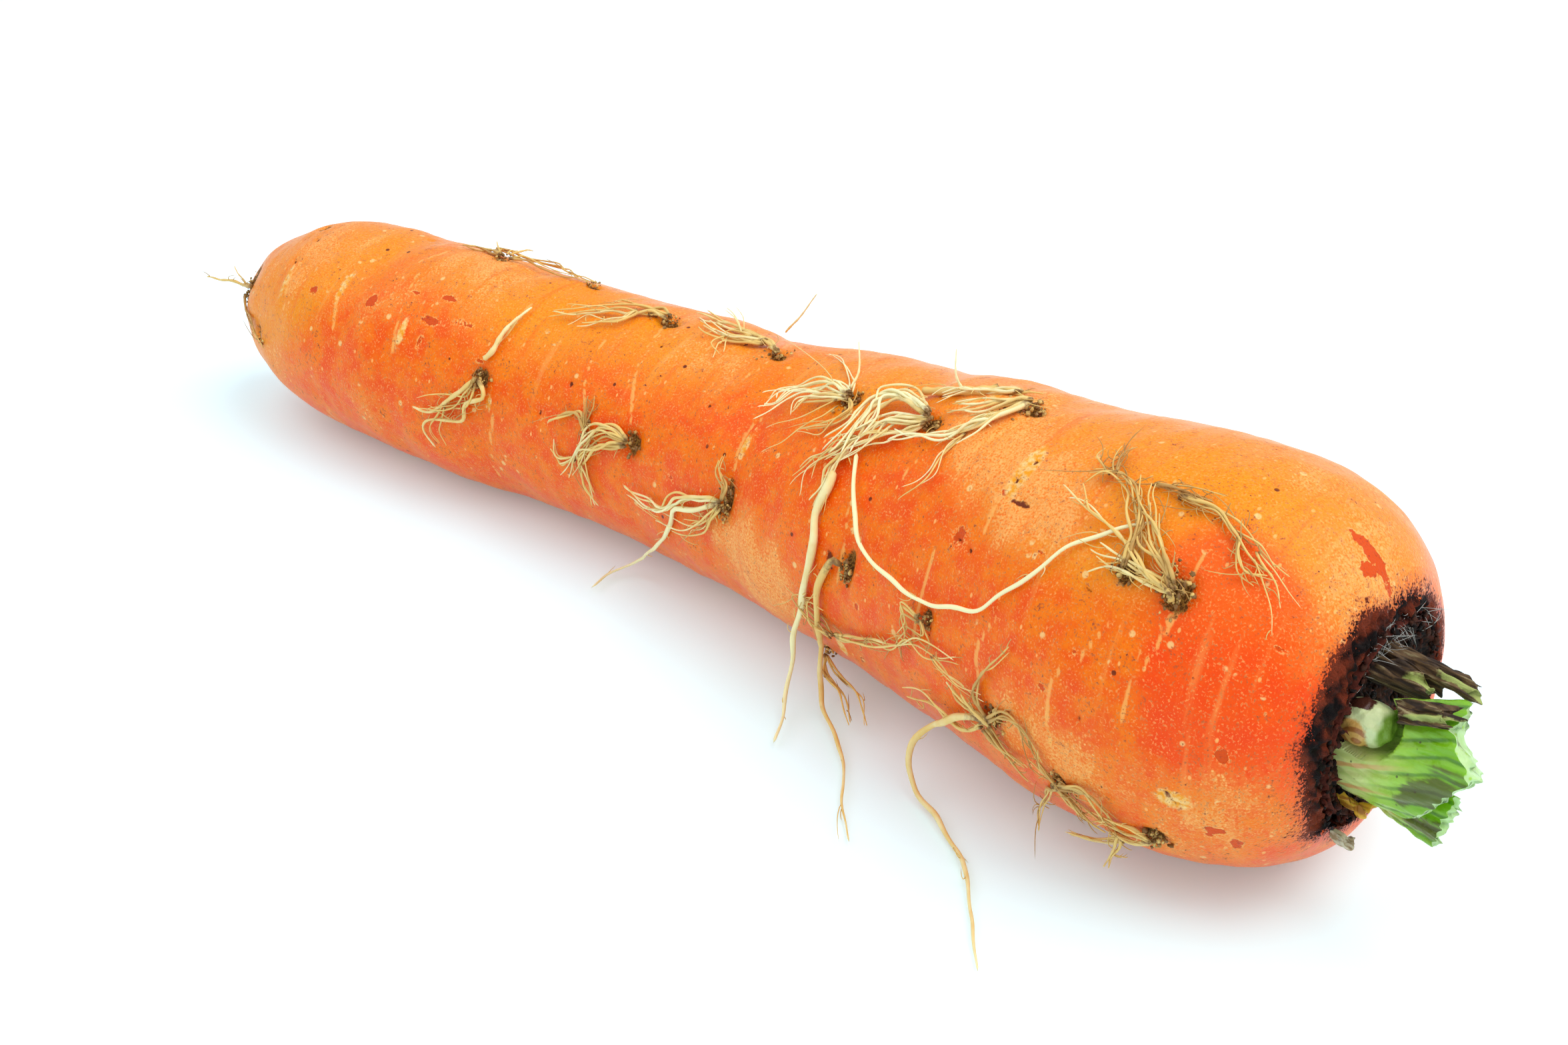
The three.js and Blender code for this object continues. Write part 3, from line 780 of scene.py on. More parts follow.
@dataclass(frozen=True)
class Taproot:
    """The root's skin, as one closed surface from the tip to the floor of the crown's hollow."""

    form: RootForm
    tip_rings: int = 62
    barrel_rings: int = 262
    shoulder_rings: int = 58
    hollow_rings: int = 14
    sides: int = 226
    swelling: float = 0.28
    crease_depth: float = 0.13
    back_creases: int = 46
    dimple_depth: float = 0.75

    def profile(self) -> tuple[np.ndarray, np.ndarray]:
        """The outline as stations and radii: evenly in angle round each rounded end.

        Returns:
            Stations along X, and the radius at each.
        """
        form = self.form
        tip = form.tip + form.tip_rounding * (1 - np.cos(np.linspace(0, math.pi / 2, self.tip_rings)))
        turn = np.linspace(math.pi / 2, 0, self.shoulder_rings)
        shoulder = form.rim - form.shoulder_rounding * (1 - np.cos(turn))
        barrel = np.linspace(tip[-1], shoulder[0], self.barrel_rings)[1:-1]
        skin = np.concatenate([tip, barrel, shoulder])
        lip = np.array(form.hollow)
        at = np.linspace(0, len(lip) - 1, self.hollow_rings)
        inner = [np.interp(at, np.arange(len(lip)), lip[:, i]) for i in (0, 1)]
        return np.r_[skin, inner[1]], np.r_[form.skin_radius(skin), inner[0]]

    def near(self, chart: np.ndarray, marks: tuple[Spot, ...]) -> np.ndarray:
        """How much of any spot lies at each place.

        Args:
            chart: (station, angle, radius) on the grid.
            marks: the spots.

        Returns:
            The sum of weight * exp(-d * d), where d is the distance in spot sizes.
        """
        total = np.zeros(chart.shape[:-1])
        for spot in marks:
            turn = (chart[..., 1] - spot.angle + 180) % 360 - 180
            arc = np.radians(turn) * np.maximum(chart[..., 2], 4) / spot.wide
            total += spot.weight * np.exp(-(arc**2) - ((chart[..., 0] - spot.station) / spot.long) ** 2)
        return total

    def lines(self, chart: np.ndarray) -> np.ndarray:
        """The pale creases, listed and drawn at random over the back, as ridges of height 1.

        Args:
            chart: (station, angle, radius) on the grid.

        Returns:
            exp(-d * d) summed over the creases, with d the distance in crease widths, at most 1.
        """
        draw = np.random.default_rng(11)
        total = np.zeros(chart.shape[:-1])
        routes = list(CREASES)
        for _ in range(self.back_creases):
            station, angle, slant = draw.uniform(-84, 88), draw.uniform(-130, 85), draw.normal(0, 1.2)
            reach = draw.uniform(9, 26)
            routes.append(((station, angle - reach), (station + slant, angle), (station, angle + reach)))
        for route in routes:
            knots = tuple(sorted((angle, station) for station, angle in route))
            first, last = knots[0][0], knots[-1][0]
            turn = (chart[..., 1] - first + 180) % 360 - 180 + first
            station = between(knots, np.clip(turn, first, last))
            past = np.maximum(np.maximum(first - turn, turn - last), 0)
            width = 0.42 * (0.6 + 0.4 * np.sin(turn / 7 + first))
            total += np.exp(-(((chart[..., 0] - station) / width) ** 2) - (past / 3) ** 2)
        return np.minimum(total, 1)

    def build(self, material: bpy.types.Material) -> None:
        """Builds the skin.

        The relief is a sum of slow swelling, waists, creases, dimples with raised lips, healed
        scars and pits, and crumbs near the rim. It moves each point square to the smooth form.

        Args:
            material: the finish.
        """
        station, radius = self.profile()
        angle = np.arange(self.sides) / self.sides * 360 - 90
        grid_station, grid_angle = np.meshgrid(station, angle, indexing="ij")
        grid_radius = np.broadcast_to(radius[:, None], grid_station.shape)
        smooth_form = self.form.around(grid_station, grid_angle, grid_radius)
        chart = np.stack([grid_station, grid_angle, grid_radius], -1)
        crease = self.lines(chart)
        soil = self.near(chart, SOIL)
        scar = np.minimum(self.near(chart, SCARS), 1)
        pit = np.minimum(self.near(chart, PITS + SPECKS), 1)
        peel = np.minimum(self.near(chart, PEELS), 1)

        inside = np.arange(len(station)) >= len(station) - self.hollow_rings
        on_shoulder = (grid_station > 80) & ~inside[:, None]
        reach = np.where(on_shoulder, grid_radius, 99)
        sector = 0.5 + 0.5 * np.cos(np.radians(grid_angle - 150))
        edge = form_edge(grid_angle)
        crust = smooth(edge + 2.8, edge - 2.2, reach) * (0.85 + 0.15 * sector) + inside[:, None] * 1.0
        crust += 0.36 * smooth(19, 13.5, reach) * smooth(80, 20, np.abs(grid_angle - 185))

        slow, quick = Grain(3, 24).at(smooth_form), Grain(4, 7).at(smooth_form)
        crumbs = Grain(5, 1.3, 40).at(smooth_form)
        ripple = Grain(6, 2.6).at(smooth_form * np.array([1, 0.12, 0.12]))
        relief = self.swelling * slow + 0.07 * quick + 0.03 * ripple
        relief -= self.near(chart, WAISTS)
        relief -= self.crease_depth * crease * (0.5 + 0.5 * quick)
        wide_soil = tuple(s._replace(long=s.long * 1.9, wide=s.wide * 1.7) for s in SOIL)
        lips = np.minimum(self.near(chart, wide_soil), 1) - np.minimum(soil, 1)
        relief += 0.35 * lips - self.dimple_depth * np.minimum(soil, 1)
        relief += 0.22 * scar - 0.45 * pit - 0.06 * peel
        relief += 0.38 * crumbs * smooth(0.45, 0.9, crust)
        relief *= smooth(0, 3, grid_radius)
        along = np.gradient(smooth_form, axis=0)
        across = np.roll(smooth_form, -1, 1) - np.roll(smooth_form, 1, 1)
        points = smooth_form + unit(np.cross(across, along)) * relief[..., None]
        points[..., 2] = np.maximum(points[..., 2], 0)

        film = 0.42 + 0.20 * slow + 0.10 * quick + 0.6 * self.near(chart, FILM)
        film = film - 0.75 * self.near(chart, DEEP)
        # Less film on the underside, so that it shows the deeper orange: painted shade.
        film -= 0.4 * smooth(0.0, -0.7, np.sin(np.radians(grid_angle)))
        tone = np.stack([film, self.near(chart, GOLD), self.near(chart, RED)], -1)
        marks = np.stack([crease, scar, soil], -1)
        edges = np.stack([crust, peel, pit], -1)
        shells = Shells()
        shells.add(points[None], tone=tone[None], marks=marks[None], edges=edges[None])
        shells.piece("skin", "taproot", material)


# ---- The crown --------------------------------------------------------------------------------


@dataclass(frozen=True)
class CorkFinish:
    """Black-brown crumbling cork, with grey-white mould where tone z is high."""

    dark: Colour = srgb(9, 3, 2)
    brown: Colour = srgb(66, 34, 20)
    russet: Colour = srgb(96, 34, 18)
    mould: Colour = srgb(206, 204, 196)

    def dress(self) -> bpy.types.Material:
        """Makes the material.

        Returns:
            The material.
        """
        make = Shader("cork")
        shade, russet, mould = make.marks("tone")
        fine, middle = make.noise(0.5, 4), make.noise(2.2, 3)
        colour = make.mix(make.span(make.sum(fine, shade, 0.4), 0.5, 0.85), self.dark, self.brown)
        colour = make.mix(make.times(make.span(make.sum(russet, middle, 0.8, -0.4), 0.4, 0.8), 0.7),
                          colour, self.russet)
        colour = make.mix(make.span(make.sum(mould, fine, 0.6, -0.3), 0.5, 0.9), colour, self.mould)
        make.set(base_color=colour, roughness=0.85, specular_ior_level=0.25)
        make.relief(make.sum(fine, middle), 0.25, 0.9)
        return make.material


@dataclass(frozen=True)
class StalkFinish:
    """A leaf stalk: cream at the foot, bright green above, with dark grooves and brown smears."""

    cream: Colour = srgb(206, 214, 132)
    pale: Colour = srgb(160, 204, 66)
    green: Colour = srgb(118, 178, 10)
    groove: Colour = srgb(54, 108, 14)
    tan: Colour = srgb(206, 148, 88)
    smear: Colour = srgb(74, 66, 22)
    flesh: Colour = srgb(184, 216, 146)

    def dress(self) -> bpy.types.Material:
        """Makes the material.

        The attribute tone holds the way from foot to cut, the groove lines and the tan veins, and
        the attribute marks the smear, the cut face, painted shade at the foot and a darker edge.

        Returns:
            The material.
        """
        make = Shader("green_stalk")
        way, groove, vein = make.marks("tone")
        smear, flesh, dark = make.marks("marks")
        thread = make.noise(0.5, 3, (9, 1, 1))
        fine, middle = make.noise(0.35, 3), make.noise(2, 3)
        place = make.sum(way, middle, 0.35, -0.17)
        colour = make.mix(make.span(place, 0.2, 0.55), self.cream, self.pale)
        colour = make.mix(make.span(place, 0.42, 0.85), colour, self.green)
        colour = make.mix(make.span(thread, 0.52, 0.75, 0, 0.35), colour, self.pale)
        line = make.span(make.sum(groove, thread, 0.6, -0.3), 0.4, 1.0)
        colour = make.mix(make.times(line, make.span(way, 0.25, 0.7, 0.06, 0.7)), colour, self.groove)
        tan = make.times(make.span(vein, 0.3, 0.8), make.span(way, 0.7, 0.2))
        colour = make.mix(make.times(tan, 0.85), colour, self.tan)
        mud = make.span(make.sum(make.sum(smear, middle, 0.7, -0.35), thread, 0.9, -0.45), 0.35, 0.7)
        colour = make.mix(make.times(mud, 0.8), colour, self.smear)
        dot = make.times(make.span(make.cells(1.1), 0.16, 0.09), make.span(middle, 0.48, 0.58))
        colour = make.mix(make.times(dot, 0.8), colour, self.smear)
        cut = make.mix(make.span(make.cells(0.9), 0.1, 0.3), self.pale, self.flesh)
        colour = make.mix(flesh, colour, cut)
        # Painted shade at the foot, and the darker edge, in the smear colour.
        colour = make.mix(make.span(make.sum(dark, fine, 0.6, -0.3), 0.4, 0.8), colour, self.smear)
        make.set(base_color=colour, roughness=0.34, subsurface_weight=0.15,
                 subsurface_radius=(0.5, 1.0, 0.25), subsurface_scale=0.001, coat_weight=0.1,
                 coat_roughness=0.2)
        make.relief(make.sum(thread, fine, 0.6), 0.14, 0.6)
        return make.material


@dataclass(frozen=True)
class DryFinish:
    """Withered stalk: grey-brown fibres with darker furrows and a paler heart."""

    dark: Colour = srgb(44, 26, 10)
    brown: Colour = srgb(96, 70, 36)
    grey: Colour = srgb(150, 138, 98)
    heart: Colour = srgb(158, 170, 92)

    def dress(self) -> bpy.types.Material:
        """Makes the material. The attribute marks says where the pale heart shows, where painted shade
        darkens the foot, and where one edge is darker.

        Returns:
            The material.
        """
        make = Shader("dry_stalk")
        heart, _, dark_foot_and_edge = make.marks("marks")
        fibre, fine = make.noise(0.45, 4, (11, 1, 1)), make.noise(0.5, 3)
        colour = make.mix(make.span(fibre, 0.38, 0.6), self.dark, self.brown)
        colour = make.mix(make.span(fibre, 0.56, 0.72), colour, self.grey)
        colour = make.mix(make.span(make.sum(heart, fine, 0.8, -0.4), 0.35, 0.75), colour, self.heart)
        # Painted shade at the foot, and the darker edge.
        colour = make.mix(make.span(make.sum(dark_foot_and_edge, fine, 0.8, -0.4), 0.4, 0.7), colour, self.dark)
        make.set(base_color=colour, roughness=0.72)
        make.relief(make.sum(fibre, fine, 0.4), 0.3, 0.9)
        return make.material


@dataclass(frozen=True)
class BudFinish:
    """The young bud: cream-green scales, an amber ringed fold and a brown edge."""

    cream: Colour = srgb(206, 216, 158)
    green: Colour = srgb(128, 164, 58)
    amber: Colour = srgb(206, 160, 84)
    ring: Colour = srgb(160, 100, 44)
    brown: Colour = srgb(70, 34, 22)

    def dress(self) -> bpy.types.Material:
        """Makes the material.

        The attribute tone holds the amber fold, its rings and the green tip, and marks the hood.

        Returns:
            The material.
        """
        make = Shader("bud_scale")
        amber, rings, green = make.marks("tone")
        hood, _, _ = make.marks("marks")
        fine, middle = make.noise(0.3, 3), make.noise(1.4, 3)
        colour = make.mix(make.span(make.sum(green, middle, 0.6, -0.3), 0.3, 0.8), self.cream, self.green)
        fold = make.mix(make.span(rings, 0.45, 0.75), self.amber, self.ring)
        colour = make.mix(make.span(make.sum(amber, fine, 0.3, -0.15), 0.35, 0.65), colour, fold)
        colour = make.mix(make.span(make.sum(hood, fine, 0.4, -0.2), 0.4, 0.6), colour, self.brown)
        make.set(base_color=colour, roughness=0.36, subsurface_weight=0.15,
                 subsurface_radius=(0.7, 1.0, 0.3), subsurface_scale=0.001)
        make.relief(make.sum(fine, rings, 0.4), 0.12, 0.6)
        return make.material


@dataclass(frozen=True)
class PaperFinish:
    """A dry papery scale, thin enough to let light through."""

    name: str
    main: Colour
    vein: Colour
    opacity: float = 1.0

    def dress(self) -> bpy.types.Material:
        """Makes the material.

        Returns:
            The material.
        """
        make = Shader(self.name)
        fibre, fine = make.noise(0.5, 3, (6, 1, 1)), make.noise(0.6, 3)
        colour = make.mix(make.span(make.sum(fibre, fine, 0.4, -0.2), 0.42, 0.62), self.main, self.vein)
        make.set(base_color=colour, roughness=0.5, subsurface_weight=0.2, subsurface_scale=0.001,
                 alpha=self.opacity)
        make.relief(fibre, 0.12, 0.7)
        return make.material


@dataclass(frozen=True)
class BudForm:
    """The young bud's place round the crown's axis, and its size."""

    station: float = 96.8
    angle: float = 152
    reach: float = 6.9
    length: float = 3.5
    girth: float = 2.6


BUD = BudForm()


@dataclass(frozen=True)
class Stalk:
    """A crescent section carried from its base to a ragged cut, in the CAD model's own sizes.

    The section runs round a centre (y, z) between two angles. Its thickness swells from the edge to
    the middle. It turns about the crown's axis by twist on its way to the cut, and its foot is
    drawn in.
    """

    node: str
    outer: float
    start: float
    stop: float
    edge: float
    thick: float
    base: float
    cut: Knots
    foot: float = 1
    twist: float = 0
    centre: tuple[float, float] = (0, 0)
    run: float = 12
    ribs: int = 0
    rib_depth: float = 0.0
    ragged: float = 0.35
    rough: float = 0.08
    curl: float = 0.0
    arc: int = 56
    depth: int = 16
    rings: int = 52
    foot_rings: int = 7
    end_rings: int = 12
    crown: tuple[float, float] = CROWN_AXIS
    behind_bud: bool = True

    def loop(self) -> tuple[np.ndarray, np.ndarray]:
        """Once round the section, as shares along the arc and from outside to inside.

        Returns:
            Shares along the arc, and shares from the outer to the inner face.
        """
        arc, depth = np.linspace(0, 1, self.arc), np.linspace(0, 1, self.depth)
        over = np.concatenate([arc, np.ones(self.depth - 2), arc[::-1], np.zeros(self.depth - 2)])
        into = np.concatenate([np.zeros(self.arc), depth[1:-1], np.ones(self.arc), depth[-2:0:-1]])
        return over, into

    def shares(self) -> tuple[np.ndarray, np.ndarray, np.ndarray]:
        """The grid as shares along the stalk, along the arc and into the section.

        The rings at either end shrink to the middle of the section, which closes the ends.

        Returns:
            Three arrays (ring, side).
        """
        foot, end = np.linspace(0, 0.97, self.foot_rings), np.linspace(0.97, 0, self.end_rings)
        shrink = np.concatenate([foot, np.ones(self.rings), end])
        along = np.concatenate([foot * 0, np.linspace(0, 1, self.rings), end * 0 + 1])
        over, into = self.loop()
        shrunk_over = 0.5 + (over[None] - 0.5) * shrink[:, None]
        shrunk_into = 0.5 + (into[None] - 0.5) * shrink[:, None]
        return np.broadcast_to(along[:, None], shrunk_over.shape), shrunk_over, shrunk_into

    def place(self, along: np.ndarray, over: np.ndarray, into: np.ndarray) -> np.ndarray:
        """Where shares of the stalk lie in space.

        Ribs are cosine waves across the outer face that fade towards the foot, and the cut end is
        drawn in or out by noise along the arc.

        Args:
            along: share from base to cut.
            over: share along the arc.
            into: share from the outer to the inner face.

        Returns:
            Points in millimetres.
        """
        angle = self.start + (self.stop - self.start) * over
        depth = self.edge + (self.thick - self.edge) * np.sin(math.pi * over)
        reach = self.outer - depth * into
        rib = np.cos(2 * math.pi * self.ribs * over) * self.rib_depth
        reach = reach + rib * smooth(0.05, 0.5, along) * (1 - into) * np.sin(math.pi * over) ** 0.5
        turn = np.radians(angle)
        side = self.centre[0] + reach * np.cos(turn)
        rise = self.centre[1] + reach * np.sin(turn)
        seed = np.stack([angle / 5, into * 2, np.full_like(angle, self.outer)], -1)
        tear = Grain(21, 1.7).at(seed) * self.ragged * smooth(0.8, 1, along)
        tear = tear - 0.35 * self.edge * (2 * np.abs(into - 0.5)) ** 4 * smooth(0.97, 1, along)
        station = self.base + (between(self.cut, angle) + tear - self.base) * along
        way = np.clip((station - self.base) / self.run, 0, 1)
        twist = np.radians(self.twist) * (1 - way)
        scale = self.foot + (1 - self.foot) * way + self.curl * smooth(0.6, 1, along) * np.sin(angle / 2)
        y = self.crown[0] + scale * (side * np.cos(twist) - rise * np.sin(twist))
        z = self.crown[1] + scale * (side * np.sin(twist) + rise * np.cos(twist))
        points = np.stack([station, y, z], -1)
        wander = Grain(22, 1.1).at(points * np.array([0.25, 1, 1]))
        outward = np.stack([np.zeros_like(y), y - self.crown[0], z - self.crown[1]], -1)
        points = points + unit(outward) * (wander * self.rough)[..., None]
        return self.clear_of_bud(points, into) if self.behind_bud else points

    def clear_of_bud(self, points: np.ndarray, into: np.ndarray) -> np.ndarray:
        """Draws points in towards the crown's axis until they lie behind the bud.

        The bud is an egg along X. On the ray out from the crown's axis through a point, the egg
        starts at m - sqrt(m * m - c), where m is how far along the ray its middle lies and c is the
        squared distance of its middle from the axis, less the egg's squared girth at that station.

        Args:
            points: points in space.
            into: share from the outer to the inner face.

        Returns:
            The points, moved.
        """
        across = points[..., 1:] - np.array(self.crown)
        reach = np.linalg.norm(across, axis=-1)
        bearing = math.radians(BUD.angle)
        middle = np.array([math.cos(bearing), math.sin(bearing)]) * BUD.reach
        girth = (BUD.girth + 0.3) ** 2
        girth = girth * np.clip(1 - ((points[..., 0] - BUD.station) / (BUD.length + 0.4)) ** 2, 0, 1)
        along = (across * middle).sum(-1) / np.maximum(reach, 1e-6)
        inside = along**2 - (BUD.reach**2 - girth)
        front = along - np.sqrt(np.maximum(inside, 0)) - 0.5 * into
        room = np.where((inside > 0) & (along > 0), np.maximum(front, 0.5), 99)
        scale = np.minimum(reach, room) / np.maximum(reach, 1e-6)
        moved = points.copy()
        moved[..., 1:] = np.array(self.crown) + across * scale[..., None]
        return moved

    def build(self, name: str, slot: Slot, material: bpy.types.Material) -> None:
        """Builds the stalk.

        Args:
            name: the piece's name.
            slot: the record's slot. It is not used.
            material: the finish.
        """
        along, over, into = self.shares()
        points = self.place(along, over, into)
        face = np.arange(len(along))[:, None] >= self.foot_rings + self.rings
        face = np.broadcast_to(face * 1.0, along.shape)
        groove = 0.5 - 0.5 * np.cos(2 * math.pi * max(self.ribs, 1) * over)
        groove = groove**3 * (into < 0.5) * (self.ribs > 0)
        vein = np.exp(-(((over - 0.52) / 0.03) ** 2)) + np.exp(-(((over - 0.76) / 0.028) ** 2))
        smear = np.exp(-(((over - 0.70) / 0.15) ** 2)) * smooth(0.45, 0.75, along) * 1.1
        smear = smear + 0.3 * np.exp(-(((over - 0.5) / 0.06) ** 2)) * smooth(0.2, 0.4, along)
        # Darker at the foot, where the stalk goes into the crown: painted shade. Also darker along the edge
        # at the start of the arc.
        dark = 0.5 * smooth(0.08, 0.0, along) + 0.6 * smooth(0.05, 0, over) * smooth(0.3, 0.5, along)
        tone = np.stack([along, groove, vein], -1)
        marks = np.stack([smear, face, dark], -1)
        shells = Shells()
        shells.add(points[None], tone=tone[None], marks=marks[None])
        shells.piece(name, self.node, material)


GREEN_STALKS = (
    Stalk("leaf_stalk_main", 9, 109, 207, 0.9, 4.8, 93.6,
          ((109, 105.4), (133, 105.7), (154, 108), (163, 108.6), (207, 103.4)), foot=0.93, twist=33,
          ribs=8, rib_depth=0.13, ragged=0.38, arc=110, rings=64),
    Stalk("leaf_stalk_under", 6.8, 138, 195, 0.7, 2.6, 94.3,
          ((138, 106.6), (170, 105.9), (195, 105.1)), foot=0.92, twist=33, centre=(0.5, -6.5),
          ribs=4, rib_depth=0.1, ragged=0.4),
)
DRY_STALKS = (
    Stalk("dry_stalk_top", 9.2, 94, 110, 0.8, 1.5, 94.4, ((94, 104.4), (110, 105.8)), twist=-10,
          ribs=3, rib_depth=0.2, ragged=0.9, rough=0.25, arc=26),
    Stalk("dry_stalk_stub", 9.0, 97, 119, 1.6, 3.2, 93.8, ((97, 101.4), (119, 100.6)), ribs=2,
          rib_depth=0.3, ragged=0.8, rough=0.35, arc=26),
    Stalk("dry_stalk_side", 11, 117, 131, 0.7, 1.2, 95.9, ((117, 105), (131, 104.2)), foot=0.95,
          twist=20, ribs=3, rib_depth=0.25, ragged=1.0, rough=0.25, arc=30),
)
SCALES = (
    Stalk("papery_scale", 10.1, 224, 238, 0.4, 0.6, 94.4, ((224, 96.6), (231, 97.6), (238, 96.8)),
          foot=0.95, ragged=0.7, rough=0.3, curl=0.06, arc=24, rings=24),
    Stalk("clear_scale", 13.9, 226, 238, 0.4, 0.6, 95.5, ((226, 97.2), (232, 97.9), (238, 97)),
          foot=0.96, ragged=0.5, rough=0.3, curl=0.03, arc=24, rings=24),
)


@dataclass(frozen=True)
class Crown:
    """What fills the rim: the corky scar, the bud, the cut stalks and the papery scales."""

    centre: tuple[float, float] = CROWN_AXIS
    scar: Knots = ((0, 90.1), (9.4, 90.7), (10.8, 92.3), (11.3, 94.3), (10.9, 95.3), (10.3, 94.6),
                   (9.0, 94.1), (5.0, 94.0), (0, 94.0))
    crumbs: int = 700
    flakes: int = 46
    threads: int = 120

    def round_axis(self, station: np.ndarray, angle: np.ndarray, radius: np.ndarray) -> np.ndarray:
        """Points at a radius and angle round the crown's axis.

        Args:
            station: the station along X.
            angle: degrees round the axis.
            radius: the distance from the axis.

        Returns:
            Points on the last axis: (station, centre + radius cos, centre + radius sin).
        """
        turn = np.radians(angle)
        y = self.centre[0] + radius * np.cos(turn)
        z = self.centre[1] + radius * np.sin(turn)
        return np.stack(np.broadcast_arrays(station, y, z), -1)

    def build_cork(self, material: bpy.types.Material) -> None:
        """Builds the scar as a turned disc with a raised rim, broken up by coarse and fine noise.

        Crumbs lie over it and on the rim, and mould threads stand on its upper edge.

        Args:
            material: the finish.
        """
        draw = np.random.default_rng(31)
        outline = np.array(self.scar)
        at = np.linspace(0, len(outline) - 1, 90)
        radius = np.interp(at, np.arange(len(outline)), outline[:, 0])
        station = np.interp(at, np.arange(len(outline)), outline[:, 1])
        angle = np.arange(150) / 150 * 360
        grid_r, grid_a = np.meshgrid(radius, angle, indexing="ij")
        grid_x = np.broadcast_to(station[:, None], grid_r.shape)
        flat = self.round_axis(grid_x, grid_a, grid_r)
        rough = Grain(32, 3.2).at(flat) * 0.45 + Grain(33, 1.0, 40).at(flat) * 0.3
        top = smooth(4.6, 5.2, at)[:, None] * smooth(0, 0.6, grid_r)
        points = flat + np.array([1.0, 0, 0]) * (rough * top)[..., None]
        tone = np.zeros_like(points)
        tone[..., 0] = 0.3 + 0.3 * rough
        tone[..., 1] = smooth(9.5, 11, grid_r) * 0.7
        tone[..., 2] = 0.25 * smooth(8, 11, grid_r) * (0.5 + 0.5 * np.cos(np.radians(grid_a - 95)))
        shells = Shells()
        shells.add(points[None], tone=tone[None])

        count = self.crumbs
        reach = np.sqrt(draw.uniform(0.1, 1, count)) * 12.4
        bearing = draw.uniform(0, 360, count)
        height = np.where(reach < 10.3, 94.2, 95.0 - 0.9 * smooth(11.4, 12.4, reach))
        centres = self.round_axis(height + draw.uniform(-0.2, 0.5, count), bearing, reach)
        sizes = draw.uniform(0.12, 0.42, count)
        crumbs = pebbles(centres, sizes, 34)
        shade = np.zeros(crumbs.shape)
        shade[..., 0] = draw.uniform(0, 1, (count, 1, 1))
        shade[..., 1] = draw.uniform(0, 0.9, (count, 1, 1)) ** 2
        shells.add(crumbs, tone=shade)

        flakes = self.flakes
        bearing = draw.uniform(120, 250, flakes)
        reach = draw.uniform(9.6, 11.6, flakes)
        start = self.round_axis(np.full(flakes, 93.9), bearing, reach)
        lean = np.stack([draw.uniform(0.6, 2.2, flakes), draw.normal(0, 0.9, flakes),
                         draw.normal(0, 0.9, flakes)], -1)
        share = np.linspace(0, 1, 6)[None, :, None]
        paths = start[:, None] + lean[:, None] * share + draw.normal(0, 0.08, (flakes, 6, 3))
        bark = tubes(paths, np.full((flakes, 6), 0.22) * draw.uniform(0.5, 1.5, (flakes, 1)), 5)
        shade = np.zeros(bark.shape)
        shade[..., 1] = 0.8
        shells.add(bark, tone=shade)

        threads = self.threads
        bearing = draw.normal(95, 26, threads)
        reach = draw.uniform(8.8, 12.2, threads)
        start = self.round_axis(np.full(threads, 94.7), bearing, reach)
        lean = draw.normal(0, 0.7, (threads, 3)) + np.array([0.5, 0, 0.3])
        bend = draw.normal(0, 1.1, (threads, 3))
        share = np.linspace(0, 1, 6)[None, :, None]
        paths = start[:, None] + lean[:, None] * share + bend[:, None] * share**2
        mould = tubes(paths, np.full((threads, 6), 0.028), 3)
        shade = np.zeros(mould.shape)
        shade[..., 2] = 1.1
        shells.add(mould, tone=shade)
        shells.piece("crown_cork", "crown_scar", material)

    def build_bud(self, material: bpy.types.Material) -> None:
        """Builds the bud: an egg whose scales overlap in two steps, over a thick ringed fold.

        Args:
            material: the finish.
        """
        fall, turn = np.meshgrid(np.linspace(0, math.pi, 70), np.arange(90) / 90 * 2 * math.pi,
                                 indexing="ij")
        way = np.stack([-np.cos(fall), np.sin(fall) * np.cos(turn), np.sin(fall) * np.sin(turn)], -1)
        step = smooth(-0.06, 0.06, way[..., 0] - 0.35 - 0.35 * np.sin(turn + 0.5))
        step = step + smooth(-0.05, 0.05, way[..., 0] + 0.35 + 0.25 * np.sin(turn * 2 + 1))
        facing = turn - math.radians(205)
        fold = np.exp(-(((way[..., 0] + 0.3) / 0.5) ** 2) - ((np.cos(facing) - 1) / 0.42) ** 2)
        rings = 0.5 + 0.5 * np.sin(18 * np.hypot(way[..., 0] + 0.1, np.sin(facing) * 0.8))
        size = 1 - 0.07 * step + 0.10 * fold + 0.02 * fold * rings + 0.03 * Grain(41, 0.7).at(way)
        size = size * (1 - 0.12 * smooth(0.2, 1, way[..., 0]))
        bearing = math.radians(BUD.angle)
        middle = np.array([BUD.station, self.centre[0] + BUD.reach * math.cos(bearing),
                           self.centre[1] + BUD.reach * math.sin(bearing)])
        stretch = np.array([BUD.length, BUD.girth, BUD.girth])
        points = middle + way * size[..., None] * stretch
        hood = smooth(0.8, 1.0, np.cos(turn - math.radians(95))) * smooth(0.4, -0.3, way[..., 0])
        green = smooth(0.1, 0.9, way[..., 0])
        tone = np.stack([fold * 1.3, rings, green], -1)
        marks = np.stack([hood, 0 * hood, 0 * hood], -1)
        shells = Shells()
        shells.add(points[None], tone=tone[None], marks=marks[None])
        shells.piece("bud", "leaf_bud", material)

    def build(self) -> None:
        """Builds the cork, the bud, the stalks and the scales."""
        self.build_cork(CorkFinish().dress())
        self.build_bud(BudFinish().dress())
        green, dry = StalkFinish().dress(), DryFinish().dress()
        for stalk in GREEN_STALKS:
            stalk.build("green_" + stalk.node, Slot.GREEN, green)
        for stalk in DRY_STALKS:
            stalk.build("withered_" + stalk.node, Slot.DRY, dry)
        yellow = PaperFinish("yellow_paper", srgb(226, 176, 50), srgb(168, 108, 24)).dress()
        clear = PaperFinish("clear_paper", srgb(214, 206, 176), srgb(150, 128, 88), 0.75).dress()
        for scale, paper in zip(SCALES, (yellow, clear)):
            scale.build("thin_" + scale.node, Slot.PAPER, paper)


# ---- The rootlets -----------------------------------------------------------------------------


